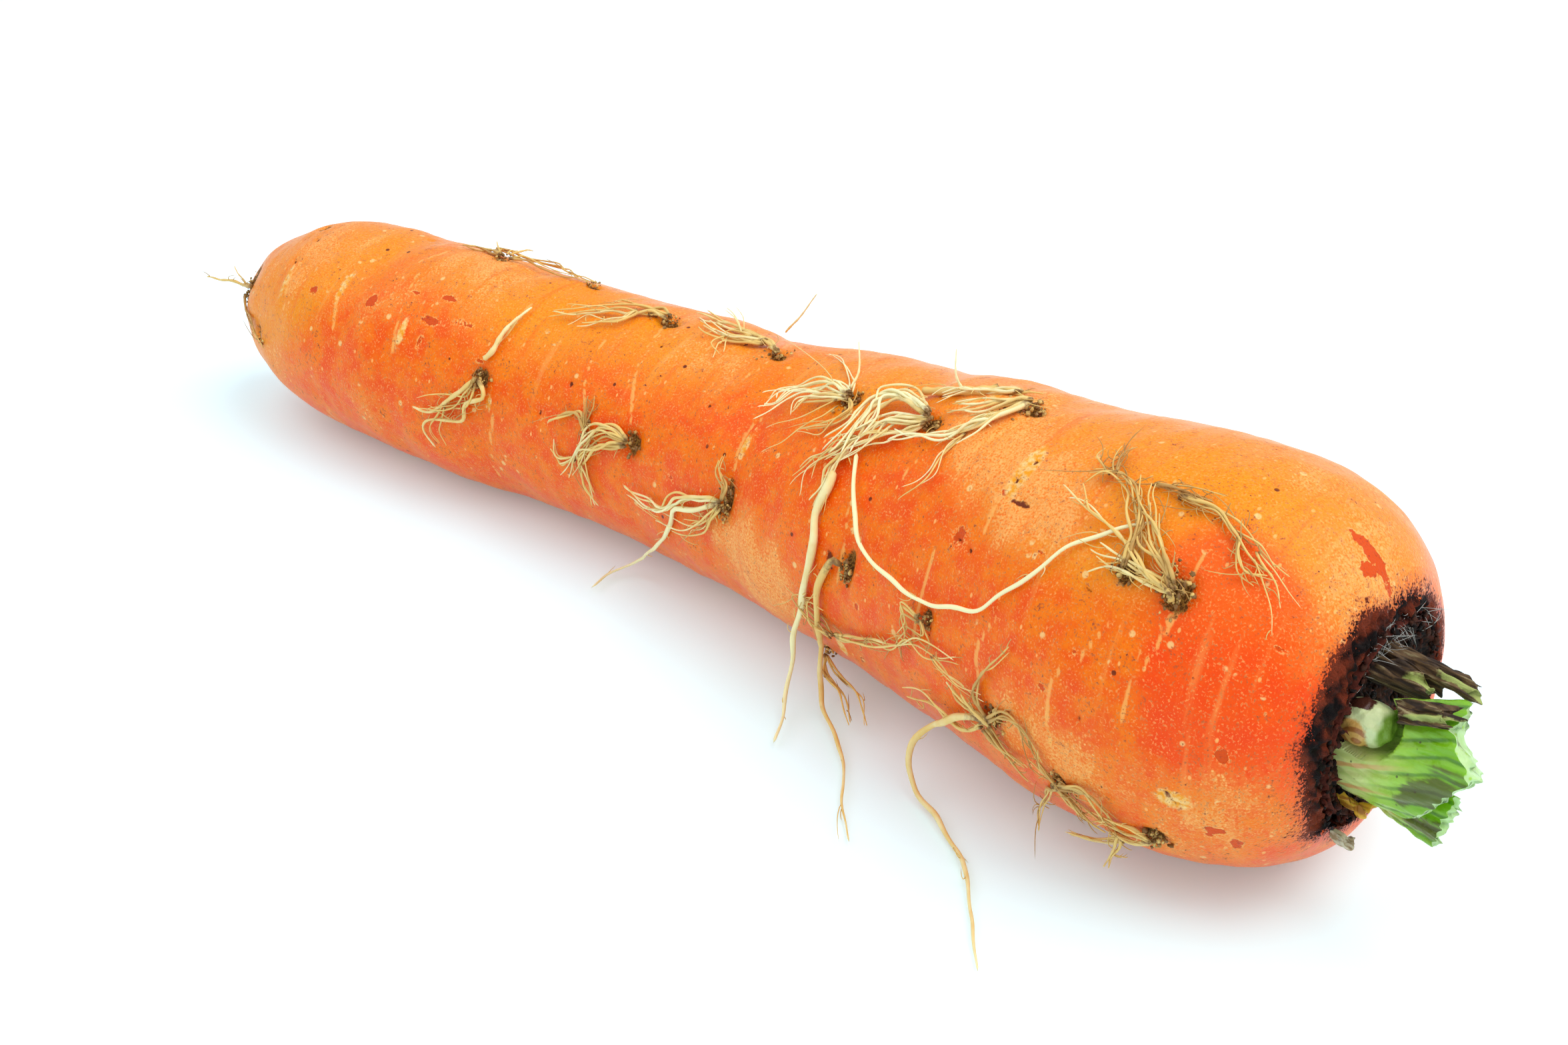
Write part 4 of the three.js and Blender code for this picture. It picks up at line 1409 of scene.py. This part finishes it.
@dataclass(frozen=True)
class RootletFinish:
    """Fine dried roots: cream to straw yellow, tan where old, brown where soil clings."""

    cream: Colour = srgb(246, 236, 182)
    straw: Colour = srgb(230, 192, 108)
    tan: Colour = srgb(178, 130, 62)
    soil: Colour = srgb(126, 86, 34)

    def dress(self) -> bpy.types.Material:
        """Makes the material. The attribute tint holds age, soil and the draw of each strand.

        Returns:
            The material.
        """
        make = Shader("rootlet")
        age, soil, own = make.marks("tint")
        fine, patch = make.noise(0.6, 3), make.noise(3, 3)
        tone = make.sum(make.sum(age, own, 0.35, -0.17), patch, 0.6, -0.3)
        colour = make.mix(make.span(tone, 0.05, 0.5), self.cream, self.straw)
        colour = make.mix(make.span(tone, 0.5, 1.05), colour, self.tan)
        colour = make.mix(make.span(make.sum(soil, fine, 0.9, -0.45), 0.35, 0.8), colour, self.soil)
        make.set(base_color=colour, roughness=0.55, subsurface_weight=0.12,
                 subsurface_radius=(1.0, 0.7, 0.3), subsurface_scale=0.0006)
        make.relief(fine, 0.08, 0.6)
        return make.material


@dataclass(frozen=True)
class Bundle:
    """Strands that run together along one route.

    The route's places are (station, angle) or (station, angle, lift) on the skin, followed by any
    free places (x, y, z) kept apart in free. Spread is how far the strands part, in millimetres.
    """

    route: tuple[Place, ...]
    free: tuple[tuple[float, float, float], ...] = ()
    count: int = 1
    radius: float = 0.3
    end: float = 0.35
    spread: float = 0.0
    lift: float = 0.45
    age: float = 0.2
    hairs: int = 0
    flare: float = 0.25


@dataclass(frozen=True)
class Tuft:
    """One tuft of rootlets, with crumbs of soil at the knots that it grows from."""

    node: str
    bundles: tuple[Bundle, ...]
    knots: tuple[tuple[float, float, float], ...] = ()
    crumbs: int = 30
    points: int = 40
    seed: int = 0
    lone_sway: float = 0.13
    sway: float = 0.27
    hair_radius: float = 0.06

    def paths(self, form: RootForm, bundle: Bundle, draw: np.random.Generator) -> np.ndarray:
        """The centre lines of a bundle's strands.

        Each strand's places are the route's, moved by an offset of its own that grows from the
        knot, plus a smaller one at each place. They are joined smoothly over the skin, set on it,
        and joined smoothly again with the free places, at even steps of length.

        Args:
            form: the root's form.
            bundle: the bundle.
            draw: the random draw.

        Returns:
            Points (strand, n, 3).
        """
        knots = np.array([(p[0], p[1], p[2] if len(p) > 2 else bundle.lift) for p in bundle.route])
        size = (bundle.count, len(knots), 1)
        grow = np.linspace(bundle.flare, 1, len(knots))[None, :, None]
        own = draw.normal(0, 1, (bundle.count, 1, 2)) * grow * bundle.spread
        loose = draw.normal(0, 1, (bundle.count, len(knots), 2)) * grow * bundle.spread * 0.45
        reach = form.skin_radius(knots[:, 0])[None, :, None]
        shift = own + loose
        if bundle.count == 1:
            shift = shift * 0
        moved = np.broadcast_to(knots, (bundle.count, *knots.shape)).copy()
        moved[..., 0] += shift[..., 0] * 0.8
        moved[..., 1] += np.degrees(shift[..., 1] / np.maximum(reach[..., 0], 6)) * 0.8
        moved[..., 2] += np.abs(draw.normal(0, 0.25, size[:2])) * min(bundle.spread, 1.5)
        lines = []
        for strand, offset in zip(moved, own):
            if len(strand) > 1:
                t = np.linspace(0, len(strand) - 1, 10 * len(strand))
                index = np.arange(len(strand))
                chart = np.stack([between(tuple(zip(index, column)), t) for column in strand.T], -1)
            else:
                chart = strand
            line = form.skin(chart)
            if bundle.free:
                loose_end = np.array(bundle.free, float)
                loose_end[:, :2] += offset[0] * 0.6 * np.linspace(0.4, 1, len(loose_end))[:, None]
                loose_end[:, 2] = np.maximum(loose_end[:, 2], 0.4)
                line = np.concatenate([line, loose_end])
            sway = self.lone_sway if bundle.count == 1 else self.sway
            lines.append(self.even(line, sway, draw))
        return np.stack(lines)

    def even(self, line: np.ndarray, sway: float, draw: np.random.Generator) -> np.ndarray:
        """A line joined smoothly at even steps of length, with a slight wander that keeps z >= 0.

        Args:
            line: points (n, 3).
            sway: the size of the wander in millimetres.
            draw: the random draw.

        Returns:
            Points at even steps.
        """
        run = np.r_[0, np.cumsum(np.linalg.norm(np.diff(line, axis=0), axis=1))]
        keep = np.r_[True, np.diff(run) > 1e-4]
        run, line = run[keep], line[keep]
        at = np.linspace(0, run[-1], self.points)
        path = np.stack([between(tuple(zip(run, column)), at) for column in line.T], -1)
        shift = Grain(int(draw.integers(1 << 30)), 7, 10)
        wander = np.stack([shift.at(path + 50 * k) for k in range(3)], -1) * sway
        path = path + wander * smooth(0, 3, at)[:, None]
        path[:, 2] = np.maximum(path[:, 2], 0.3)
        return path

    def hairs(self, paths: np.ndarray, count: int, draw: np.random.Generator) -> np.ndarray:
        """Short side hairs: curves that leave a strand at a slant and bend back along it.

        Args:
            paths: the strands (strand, n, 3).
            count: how many hairs.
            draw: the random draw.

        Returns:
            A grid of tubes along start + first * t + bend * t * t.
        """
        strand = draw.integers(0, len(paths), count)
        place = draw.integers(3, paths.shape[1] - 3, count)
        start, way = paths[strand, place], unit(paths[strand, place + 2] - paths[strand, place - 2])
        axis = start.copy()
        axis[:, 1:] -= np.array([-3, 19])
        axis[:, 0] = 0
        out = unit(axis)
        side = np.cross(way, out) * draw.choice([-1, 1], (count, 1))
        length = draw.uniform(0.6, 2.9, (count, 1))
        first = (side + 0.9 * way * draw.normal(0, 1, (count, 1)) + out * 0.3) * length
        bend = (way * draw.normal(0, 1.0, (count, 1)) - side * 0.5 - out * 0.35) * length
        share = np.linspace(0, 1, 7)[None, :, None]
        curves = start[:, None] + first[:, None] * share + bend[:, None] * share**2
        curves[..., 2] = np.maximum(curves[..., 2], 0.15)
        return tubes(curves, np.full((count, 7), self.hair_radius) * np.linspace(1.2, 0.6, 7), 4)

    def build(self, form: RootForm, material: bpy.types.Material) -> None:
        """Builds the tuft's strands, hairs and crumbs as one piece.

        Args:
            form: the root's form.
            material: the finish.
        """
        draw = np.random.default_rng(self.seed + 100)
        shells = Shells()
        share = np.linspace(0, 1, self.points)
        for bundle in self.bundles:
            paths = self.paths(form, bundle, draw)
            thick = bundle.radius * draw.uniform(0.7, 1.25, (bundle.count, 1))
            if bundle.count == 1:
                thick[:] = bundle.radius
            taper = 1 + (bundle.end - 1) * share**1.3
            lumps = 1 + 0.12 * np.sin(share * 34 + draw.uniform(0, 6, (bundle.count, 1)))
            grid = tubes(paths, thick * taper * lumps, 7)
            tint = np.zeros(grid.shape)
            tint[..., 0] = bundle.age + 0.2 * (1 - share)[None, :, None]
            near = smooth(0.16, 0.0, share) * (0.75 if self.knots else 0.2)
            tint[..., 1] = near[None, :, None]
            tint[..., 2] = draw.uniform(0, 1, (bundle.count, 1, 1))
            shells.add(grid, tint=tint)
            if bundle.hairs:
                fuzz = self.hairs(paths, bundle.hairs, draw)
                tint = np.zeros(fuzz.shape)
                tint[..., 0] = bundle.age + 0.35
                tint[..., 2] = draw.uniform(0, 1, (bundle.hairs, 1, 1))
                shells.add(fuzz, tint=tint)
        if self.knots:
            station, angle, size = (np.repeat(column, self.crumbs) for column in np.array(self.knots).T)
            count = len(station)
            station = station + draw.normal(0, 0.7, count) * size
            angle = angle + np.degrees(draw.normal(0, 0.8, count) * size / form.skin_radius(station))
            lift = draw.uniform(-0.5, 0.5, count)
            lumps = pebbles(form.skin(np.stack([station, angle, lift], -1)),
                            draw.uniform(0.08, 0.28, count) * size, self.seed)
            tint = np.zeros(lumps.shape)
            tint[..., 0] = 0.8
            tint[..., 1] = draw.uniform(0.4, 1.0, (count, 1, 1))
            shells.add(lumps, tint=tint)
        shells.piece("roots_" + self.node, self.node, material)


TUFTS = (
    Tuft("rootlet_tip_trailing", (
        Bundle(((-87, 149), (-91, 153, 1.2)), ((-94.5, -14, 19), (-98, -13.6, 18.2), (-102, -13.2, 17.3)),
               radius=0.3, age=0.5, hairs=5),
        Bundle(((-87, 149), (-90.5, 150, 0.8)), ((-94, -12.6, 19.6), (-96, -12, 20.4)), radius=0.18, age=0.6),
    ), ((-89.5, 148, 0.9), (-91, 154, 0.7)), seed=1),
    Tuft("rootlet_tip_clinging", (
        Bundle(((-90.5, 161), (-88, 168), (-85, 170), (-82, 177), (-80, 182)), count=2, spread=0.42,
               radius=0.19, age=0.75, hairs=10),
    ), ((-90, 161, 0.7), (-81, 180, 0.7)), seed=2),
    Tuft("rootlet_back", (
        Bundle(((-47, 79), (-51, 67), (-48, 62), (-43, 62), (-38, 70), (-34, 78), (-31, 78)), count=3,
               spread=0.6, radius=0.21, age=0.45, hairs=8),
        Bundle(((-47, 79), (-51, 74), (-53.5, 76)), count=3, spread=0.96, radius=0.22, age=0.6, hairs=6),
        Bundle(((-46, 79), (-43, 77), (-38, 79), (-33, 80)), count=2, spread=0.6, radius=0.18, age=0.5),
        Bundle(((-47, 77), (-48, 70, 1.2), (-49, 64, 1.4)), count=3, spread=1.2, radius=0.16, age=0.5),
    ), ((-47, 79, 0.9), (-31, 78, 0.8)), seed=3),
    Tuft("rootlet_flank_pale", (
        Bundle(((-35, 145), (-34, 139), (-34, 127), (-33, 112)), radius=0.42, end=0.3, age=0.25, hairs=4),
    ), seed=4),
    Tuft("rootlets_flank_forked", (
        Bundle(((-35, 154), (-38, 166), (-42, 178), (-46, 179)), radius=0.4, age=0.3, hairs=6),
        Bundle(((-35, 154), (-33, 162), (-36, 168), (-37, 178), (-42, 182), (-44, 189), (-43, 200)),
               radius=0.34, age=0.35, hairs=14),
        Bundle(((-35, 156), (-36, 166), (-40, 172), (-44, 176)), count=4, spread=1.2, radius=0.15,
               age=0.5, hairs=12),
        Bundle(((-40, 172), (-42, 186), (-41, 194)), count=3, spread=1.2, radius=0.12, age=0.4),
    ), ((-35, 153, 1), (-35, 157, 0.8)), seed=5),
    Tuft("rootlets_waist", (
        Bundle(((-15, 162), (-17, 154), (-20, 160), (-22, 163)), count=3, spread=0.84, radius=0.21,
               age=0.5, hairs=8),
        Bundle(((-7, 158), (-11, 156), (-14, 161), (-16, 174), (-18, 184)), count=6, spread=1.1,
               radius=0.21, age=0.35, hairs=10),
        Bundle(((-7, 160), (-12, 166), (-15, 173), (-14, 183), (-13, 197)), count=5, spread=1.1,
               radius=0.21, age=0.4, hairs=10),
        Bundle(((-16, 175), (-19, 179), (-20, 171)), count=3, spread=0.96, radius=0.18, age=0.4),
        Bundle(((-15, 160), (-15, 152), (-16, 145)), count=3, spread=0.72, radius=0.16, age=0.8, hairs=8),
    ), ((-7, 159, 1.1), (-15, 162, 0.9)), seed=6),
    Tuft("rootlets_ridge_left", (
        Bundle(((-14, 91), (-17, 91), (-20, 96), (-23, 97), (-26, 106), (-29, 110)), count=4,
               spread=0.96, radius=0.21, age=0.35, hairs=10),
        Bundle(((-19, 94), (-20, 105), (-23, 111), (-26, 115)), count=3, spread=1.1, radius=0.18,
               age=0.3, hairs=6),
        Bundle(((-14, 91), (-16, 87), (-19, 88), (-23, 90)), count=3, spread=0.84, radius=0.18, age=0.5),
    ), ((-14, 91, 1.0), (-17, 92, 0.7)), seed=7),
    Tuft("rootlets_ridge_right", (
        Bundle(((6, 93), (4, 89), (-1, 84), (-7, 81), (-10, 79.5), (-12.5, 79)), count=4, spread=0.72,
               radius=0.22, age=0.3, hairs=10),
        Bundle(((2, 87), (-2, 92), (-6, 90), (-9, 88)), count=5, spread=1.3, radius=0.19, age=0.25,
               hairs=8),
        Bundle(((0, 86), (-3, 92), (-3, 99), (-1, 104)), count=4, spread=1.2, radius=0.15, age=0.4),
        Bundle(((-3, 84), (-5, 80, 1.4), (-8, 77, 2.2)), count=3, spread=0.84, radius=0.13, age=0.2),
    ), ((6, 93, 1.0), (4, 96, 0.7)), seed=8),
    Tuft("rootlet_hair_back", (
        Bundle(((-1, 62),), ((1, 9.7, 34.9), (2, 10.2, 36.4), (3, 10.5, 37.7)), radius=0.16, end=0.5,
               age=0.1),
    ), seed=9),
    Tuft("rootlets_hip", (
        Bundle(((12, 165), (12, 160), (10, 155), (10, 149)), count=3, spread=0.6, radius=0.18, age=0.5,
               hairs=6),
        Bundle(((12, 165), (8, 167), (3, 173), (1, 179), (-3, 181), (-7, 179)), count=4, spread=0.72,
               radius=0.22, age=0.2, hairs=10),
        Bundle(((12, 167), (9, 179), (5, 185), (0, 188)), count=3, spread=0.72, radius=0.18, age=0.35,
               hairs=8),
        Bundle(((12, 166), (7, 174), (3, 178), (2, 187), (-1, 201), (-5, 214, 1.4)),
               ((-9.4, -12.9, 2.2), (-11.3, -16.1, 1.1), (-10.4, -19.8, 1.1)), radius=0.38, age=0.1,
               hairs=8),
        Bundle(((12, 168), (10, 176), (7, 182), (5, 187)), count=3, spread=1.1, radius=0.13, age=0.4,
               hairs=8),
    ), ((12, 164, 1.0), (12, 169, 0.9)), seed=10),
    Tuft("rootlets_mat_left", (
        Bundle(((24, 110), (21, 108), (19, 109), (16, 113), (14, 118), (13, 123)), count=8, spread=1.3,
               radius=0.22, age=0.05, hairs=6, lift=0.7),
        Bundle(((24, 111), (21, 113), (18, 117), (17, 123)), count=5, spread=1.2, radius=0.21, age=0.15,
               lift=0.6),
        Bundle(((24, 111), (26, 118), (24, 125), (20, 129)), count=4, spread=0.72, radius=0.16, age=0.4,
               hairs=6),
        Bundle(((24, 110), (21, 101), (16, 90), (12, 85)), count=2, spread=0.36, radius=0.15, age=0.1),
        Bundle(((24, 109, 1.4),), ((23.4, -6, 38.9), (21.4, -3.8, 41.5)), radius=0.18, age=0.05),
        Bundle(((23, 113), (20, 122), (15, 131)), count=2, spread=0.96, radius=0.10, age=0.3),
    ), ((24, 110, 1.1), (23.5, 114, 0.9)), seed=11),
    Tuft("rootlets_mat_upper", (
        Bundle(((42, 88), (40, 93), (36, 97), (33, 100)), radius=0.62, end=0.7, age=0.3, lift=0.7),
        Bundle(((38.5, 95),), ((37.4, -5, 42.6), (36.5, -4.1, 45.5)), radius=0.18, age=0.1),
        Bundle(((45, 88), (41, 93), (38, 98), (36, 103)), count=6, spread=0.96, radius=0.19, age=0.15,
               hairs=6, lift=0.8),
        Bundle(((43, 88), (45, 86), (47, 84)), count=3, spread=0.72, radius=0.22, age=0.7, hairs=6),
    ), ((44, 87, 0.8), ), crumbs=36, seed=12),
    Tuft("rootlets_mat_middle", (
        Bundle(((38, 111), (32, 105.5), (29, 109), (29, 117), (29, 127), (28.5, 133)), count=10,
               spread=1.2, radius=0.24, age=0.05, hairs=10, lift=1.0),
        Bundle(((38, 112), (33, 117), (31, 124), (29, 130)), count=8, spread=1.3, radius=0.22, age=0.1,
               hairs=8, lift=0.8),
        Bundle(((38, 113), (36, 118), (33, 122), (30, 127), (27.5, 134)), count=5, spread=1.4,
               radius=0.18, age=0.25, hairs=8, lift=0.6),
        Bundle(((29.5, 125), (27.5, 132), (25.5, 138), (24.5, 145)), count=5, spread=1.1, radius=0.15,
               age=0.3, hairs=6),
    ), ((38, 112, 1.1), (36.5, 114, 0.9)), seed=13),
    Tuft("rootlets_mat_right", (
        Bundle(((48, 92), (46, 95), (43, 101), (40.5, 104)), count=7, spread=1.1, radius=0.22, age=0.25,
               hairs=6, lift=0.8),
        Bundle(((48, 92), (47, 100), (45.5, 107), (43, 115)), count=4, spread=0.96, radius=0.21,
               age=0.2, hairs=6, lift=0.7),
        Bundle(((48, 93), (46.5, 103), (45, 110), (42, 117), (37.5, 122), (35, 125)), count=3,
               spread=0.72, radius=0.27, age=0.12, hairs=4, lift=0.9),
        Bundle(((44, 113), (43, 122), (42.5, 130), (41, 138)), count=3, spread=0.96, radius=0.12,
               age=0.3),
    ), ((48.5, 92, 1.1), (47, 96, 1.0), (45.5, 99, 0.7)), crumbs=40, seed=14),
    Tuft("rootlet_long", (
        Bundle(((29, 139), (29.5, 145), (29, 155), (30, 165), (29.3, 180), (28, 191)),
               ((26.6, -21, 10.5), (26.2, -20.9, 6), (27.2, -23, 2.6), (31, -29.6, 1.1)), radius=0.56,
               end=0.3, age=0.15, hairs=12, lift=0.55),
        Bundle(((29.5, 131), (28.5, 138), (29, 146), (28.4, 152)), count=3, spread=0.6, radius=0.22,
               age=0.2, hairs=4),
    ), seed=15, points=64),
    Tuft("rootlet_loop", (
        Bundle(((31, 131), (32.5, 139), (35, 150), (38, 159), (44, 164), (50, 165), (54, 163), (57, 161),
                (60, 154), (63, 146), (65, 139), (68, 132), (74, 122)), radius=0.28, end=0.75, age=0.08,
               hairs=9, lift=0.5),
    ), seed=16, points=90),
    Tuft("rootlet_hooked", (
        Bundle(((35.5, 168), (34, 167, 0.9), (32.3, 174), (31.3, 182), (30.5, 199), (29, 212)),
               ((29, -19, 4.2), (31, -21, 1.8), (36.6, -24.4, 1.1), (40.7, -28.3, 0.9),
                (44.2, -32.6, 0.8), (49.5, -37.6, 0.6)), radius=0.46, end=0.2, age=0.2, hairs=6),
    ), ((35.5, 168, 0.9), (35.5, 171, 0.8)), seed=17, points=72),
    Tuft("rootlets_net", (
        Bundle(((33.5, 197), (37, 193), (42, 188), (46, 184), (49, 179), (52, 180), (56, 178)),
               count=3, spread=0.72, radius=0.16, age=0.45, hairs=26),
        Bundle(((49.5, 171), (46.5, 170), (47.5, 176), (46, 184)), count=3, spread=0.72, radius=0.16,
               age=0.5, hairs=12),
        Bundle(((33.5, 197), (30, 194), (28.5, 188), (31, 184)), count=6, spread=1.6, radius=0.12,
               age=0.5, hairs=10),
        Bundle(((49.5, 171), (50, 176), (48, 181)), count=3, spread=0.96, radius=0.10, age=0.5),
        Bundle(((52, 180), (56, 184), (60, 186)), count=3, spread=0.96, radius=0.11, age=0.4, hairs=6),
    ), ((49.5, 171, 0.8),), seed=18),
    Tuft("rootlets_fan", (
        Bundle(((73.5, 136), (73, 127), (71, 120), (69, 115), (66, 113), (63.5, 115)), count=5,
               spread=0.84, radius=0.22, age=0.65, hairs=30, lift=0.7),
        Bundle(((79, 136), (77, 132), (74, 127), (72.3, 122)), count=5, spread=1.1, radius=0.21,
               age=0.45, hairs=14, lift=0.8),
        Bundle(((79.5, 138), (76, 135), (73.5, 132), (71, 129.5), (67, 125), (63, 121)), count=3,
               spread=0.96, radius=0.22, age=0.25, hairs=10, lift=0.7),
        Bundle(((79.5, 137), (76, 136.5), (73, 136), (69.5, 136)), count=4, spread=1.1, radius=0.21,
               age=0.35, hairs=10),
        Bundle(((79.5, 137), (76, 129), (73, 120), (71, 113)), count=3, spread=0.96, radius=0.18,
               age=0.6, hairs=14, lift=0.7),
        Bundle(((66, 113), (64.5, 110), (65, 105)), count=5, spread=1.4, radius=0.15, age=0.7, hairs=16),
    ), ((79.5, 137, 1.3), (78, 134, 0.9), (73.5, 136, 1.0)), crumbs=44, seed=19),
    Tuft("rootlet_fan_branch", (
        Bundle(((74.5, 113), (77, 113.5), (79, 114), (82, 117), (84, 119), (86.5, 121)), count=4,
               spread=0.6, radius=0.21, age=0.55, hairs=34),
        Bundle(((82, 117), (84, 125), (86.5, 125)), count=3, spread=0.84, radius=0.16, age=0.45, hairs=12),
        Bundle(((71, 113), (74.5, 113), (78, 112)), count=3, spread=0.72, radius=0.18, age=0.7, hairs=16),
        Bundle(((84, 119), (87, 124), (88, 129)), count=3, spread=1.2, radius=0.12, age=0.35, hairs=6),
    ), ((74.5, 113, 0.7),), crumbs=18, seed=20),
    Tuft("rootlets_star", (
        Bundle(((61, 192), (59, 186), (59.5, 179), (62, 173), (63.5, 168)), count=2, spread=0.48,
               radius=0.18, age=0.6, hairs=8),
        Bundle(((61, 192), (57.5, 189), (55, 185.5)), count=4, spread=0.96, radius=0.21, age=0.5, hairs=8),
        Bundle(((61, 191), (63, 187), (66, 188), (68, 194)), count=4, spread=0.96, radius=0.19, age=0.6,
               hairs=10),
        Bundle(((61, 193), (58, 194), (54, 201, 1.3)),
               ((49.8, -24.6, 9.2), (48.1, -25, 6.6), (48.4, -25.7, 4), (50.3, -26.6, 1.7),
                (54.3, -28.1, 1.1), (58, -30.3, 0.9), (61.7, -32.4, 0.9), (66.8, -37.8, 0.8),
                (70.5, -42.1, 0.6), (73, -45, 0.5)), radius=0.46, end=0.3, age=0.2, hairs=9),
        Bundle(((60, 195), (56, 201.5), (51.5, 198), (47, 204)), count=3, spread=0.72, radius=0.19,
               age=0.4, hairs=10),
        Bundle(((61, 193), (63, 199), (66, 203)), count=4, spread=1.3, radius=0.19, age=0.7, hairs=8),
    ), ((61, 192, 1.1), (62.5, 189, 0.8)), crumbs=36, seed=21, points=72),
    Tuft("rootlets_belly", (
        Bundle(((27.5, 223),), ((29, -17.8, 4.2), (33, -19.6, 3.2), (36, -21.7, 2)), count=2,
               spread=0.48, radius=0.19, age=0.6, hairs=8),
        Bundle(((27.5, 223),), ((31, -17.4, 4.2), (35.2, -18.6, 3.8), (38, -21.2, 2.4)), count=2,
               spread=0.48, radius=0.18, age=0.5, hairs=8),
    ), ((27.5, 223, 0.8),), seed=22),
    Tuft("rootlets_shoulder_left", (
        Bundle(((70, 204), (74, 199), (76, 204), (76, 210)), count=4, spread=0.84, radius=0.19, age=0.6,
               hairs=12),
        Bundle(((70, 205), (67.5, 209)), ((65.4, -24, 5), (66, -25, 3.4)), count=3, spread=0.84,
               radius=0.18, age=0.55, hairs=10),
        Bundle(((70, 204), (72.5, 208), (74, 214)), count=4, spread=1.1, radius=0.18, age=0.7, hairs=10),
        Bundle(((70, 203), (68, 199), (67, 194)), count=3, spread=0.96, radius=0.15, age=0.6, hairs=6),
    ), ((70, 204, 1.1), (71.5, 207, 0.8)), crumbs=36, seed=23),
    Tuft("rootlets_shoulder_right", (
        Bundle(((81, 212), (79, 216), (76.5, 218)), ((74, -23, 5), (69.5, -24.2, 4.3)), count=4,
               spread=0.72, radius=0.22, age=0.25, hairs=16),
        Bundle(((77, 217.5),), ((75, -23.9, 4.2), (75.2, -24.8, 3.2)), count=3, spread=0.96, radius=0.18,
               age=0.3, hairs=8),
        Bundle(((81, 212), (79, 209), (76, 210), (74, 213)), count=4, spread=0.96, radius=0.18, age=0.4,
               hairs=10),
    ), ((81.5, 211, 1.0), (80.5, 214, 0.8)), seed=24),
)


# ---- Studio -----------------------------------------------------------------------------------


@dataclass(frozen=True)
class Studio:
    """A white sweep of floor, soft light from the upper right and the camera."""

    target: tuple[float, float, float] = (18.2, -13.4, 19.4)
    azimuth: float = 41.7
    elevation: float = 30
    distance: float = 268
    lens: float = 50
    floor_size: float = 6.0
    paper: Colour = srgb(230, 248, 252)
    glow: Colour = srgb(205, 252, 255)
    glow_strength: float = 0.17
    sky: Colour = srgb(240, 246, 255)
    sky_strength: float = 0.72
    lamp_distance: float = 0.9

    def aim(self, thing: bpy.types.Object, place: Vector, target: Vector) -> None:
        """Puts a thing at a place, facing the target."""
        thing.location = place
        thing.rotation_euler = (target - place).to_track_quat("-Z", "Y").to_euler()

    def back(self, azimuth: float, elevation: float) -> Vector:
        """The direction from the target towards a viewer or a light."""
        a, e = math.radians(azimuth), math.radians(elevation)
        return Vector((math.sin(a) * math.cos(e), -math.cos(a) * math.cos(e), math.sin(e)))

    def lamp(self, name: str, azimuth: float, elevation: float, size: float, power: float,
             colour: tuple[float, float, float]) -> None:
        """Adds one square soft light.

        Args:
            name: the light's name.
            azimuth: degrees round the object, as the camera's.
            elevation: degrees above the floor.
            size: the side of the square in metres.
            power: watts.
            colour: linear red, green and blue.
        """
        data = bpy.data.lights.new(name, "AREA")
        data.size, data.energy, data.color = size, power, colour
        light = bpy.data.objects.new(name, data)
        target = Vector(self.target) * MM
        self.aim(light, target + self.back(azimuth, elevation) * self.lamp_distance, target)
        bpy.context.scene.collection.objects.link(light)

    def build(self) -> None:
        """Builds the floor, the lights, the sky fill and the camera."""
        make = Shader("floor_paper")
        make.set(base_color=self.paper, roughness=0.9, emission_color=self.glow,
                 emission_strength=self.glow_strength)
        make.relief(make.noise(1.2, 3), 0.05, 0.3)
        mesh = bpy.data.meshes.new("floor")
        half = self.floor_size / 2
        mesh.from_pydata([(-half, -half, 0), (half, -half, 0), (half, half, 0), (-half, half, 0)],
                         [], [(0, 1, 2, 3)])
        mesh.materials.append(make.material)
        floor = bpy.data.objects.new("floor", mesh)
        bpy.context.scene.collection.objects.link(floor)

        self.lamp("window", 122, 58, 0.8, 5.6, (1, 0.985, 0.96))
        self.lamp("reflector", -50, 55, 0.8, 2.0, (0.97, 0.985, 1))
        self.lamp("front_fill", 30, 48, 1.0, 1.0, (1, 0.99, 0.98))

        world = bpy.data.worlds.new("sky")
        world.use_nodes = True
        sky = world.node_tree.nodes["Background"]
        sky.inputs["Color"].default_value = self.sky
        sky.inputs["Strength"].default_value = self.sky_strength
        bpy.context.scene.world = world

        data = bpy.data.cameras.new("camera")
        data.lens, data.sensor_width = self.lens, 36
        data.clip_start, data.clip_end = 0.01, 10
        camera = bpy.data.objects.new("camera", data)
        target = Vector(self.target) * MM
        self.aim(camera, target + self.back(self.azimuth, self.elevation) * self.distance * MM, target)
        bpy.context.scene.collection.objects.link(camera)
        bpy.context.scene.camera = camera
        bpy.context.scene.view_settings.view_transform = "Standard"
        LOG.info("studio is ready")


def main() -> None:
    """Builds the carrot in order."""
    logging.basicConfig(level=logging.INFO, format="%(name)s: %(message)s")
    Studio().build()
    form = RootForm()
    Taproot(form).build(SkinFinish().dress())
    Crown().build()
    fibre = RootletFinish().dress()
    for tuft in TUFTS:
        tuft.build(form, fibre)
    bpy.context.view_layer.update()


if __name__ == "__main__":
    main()
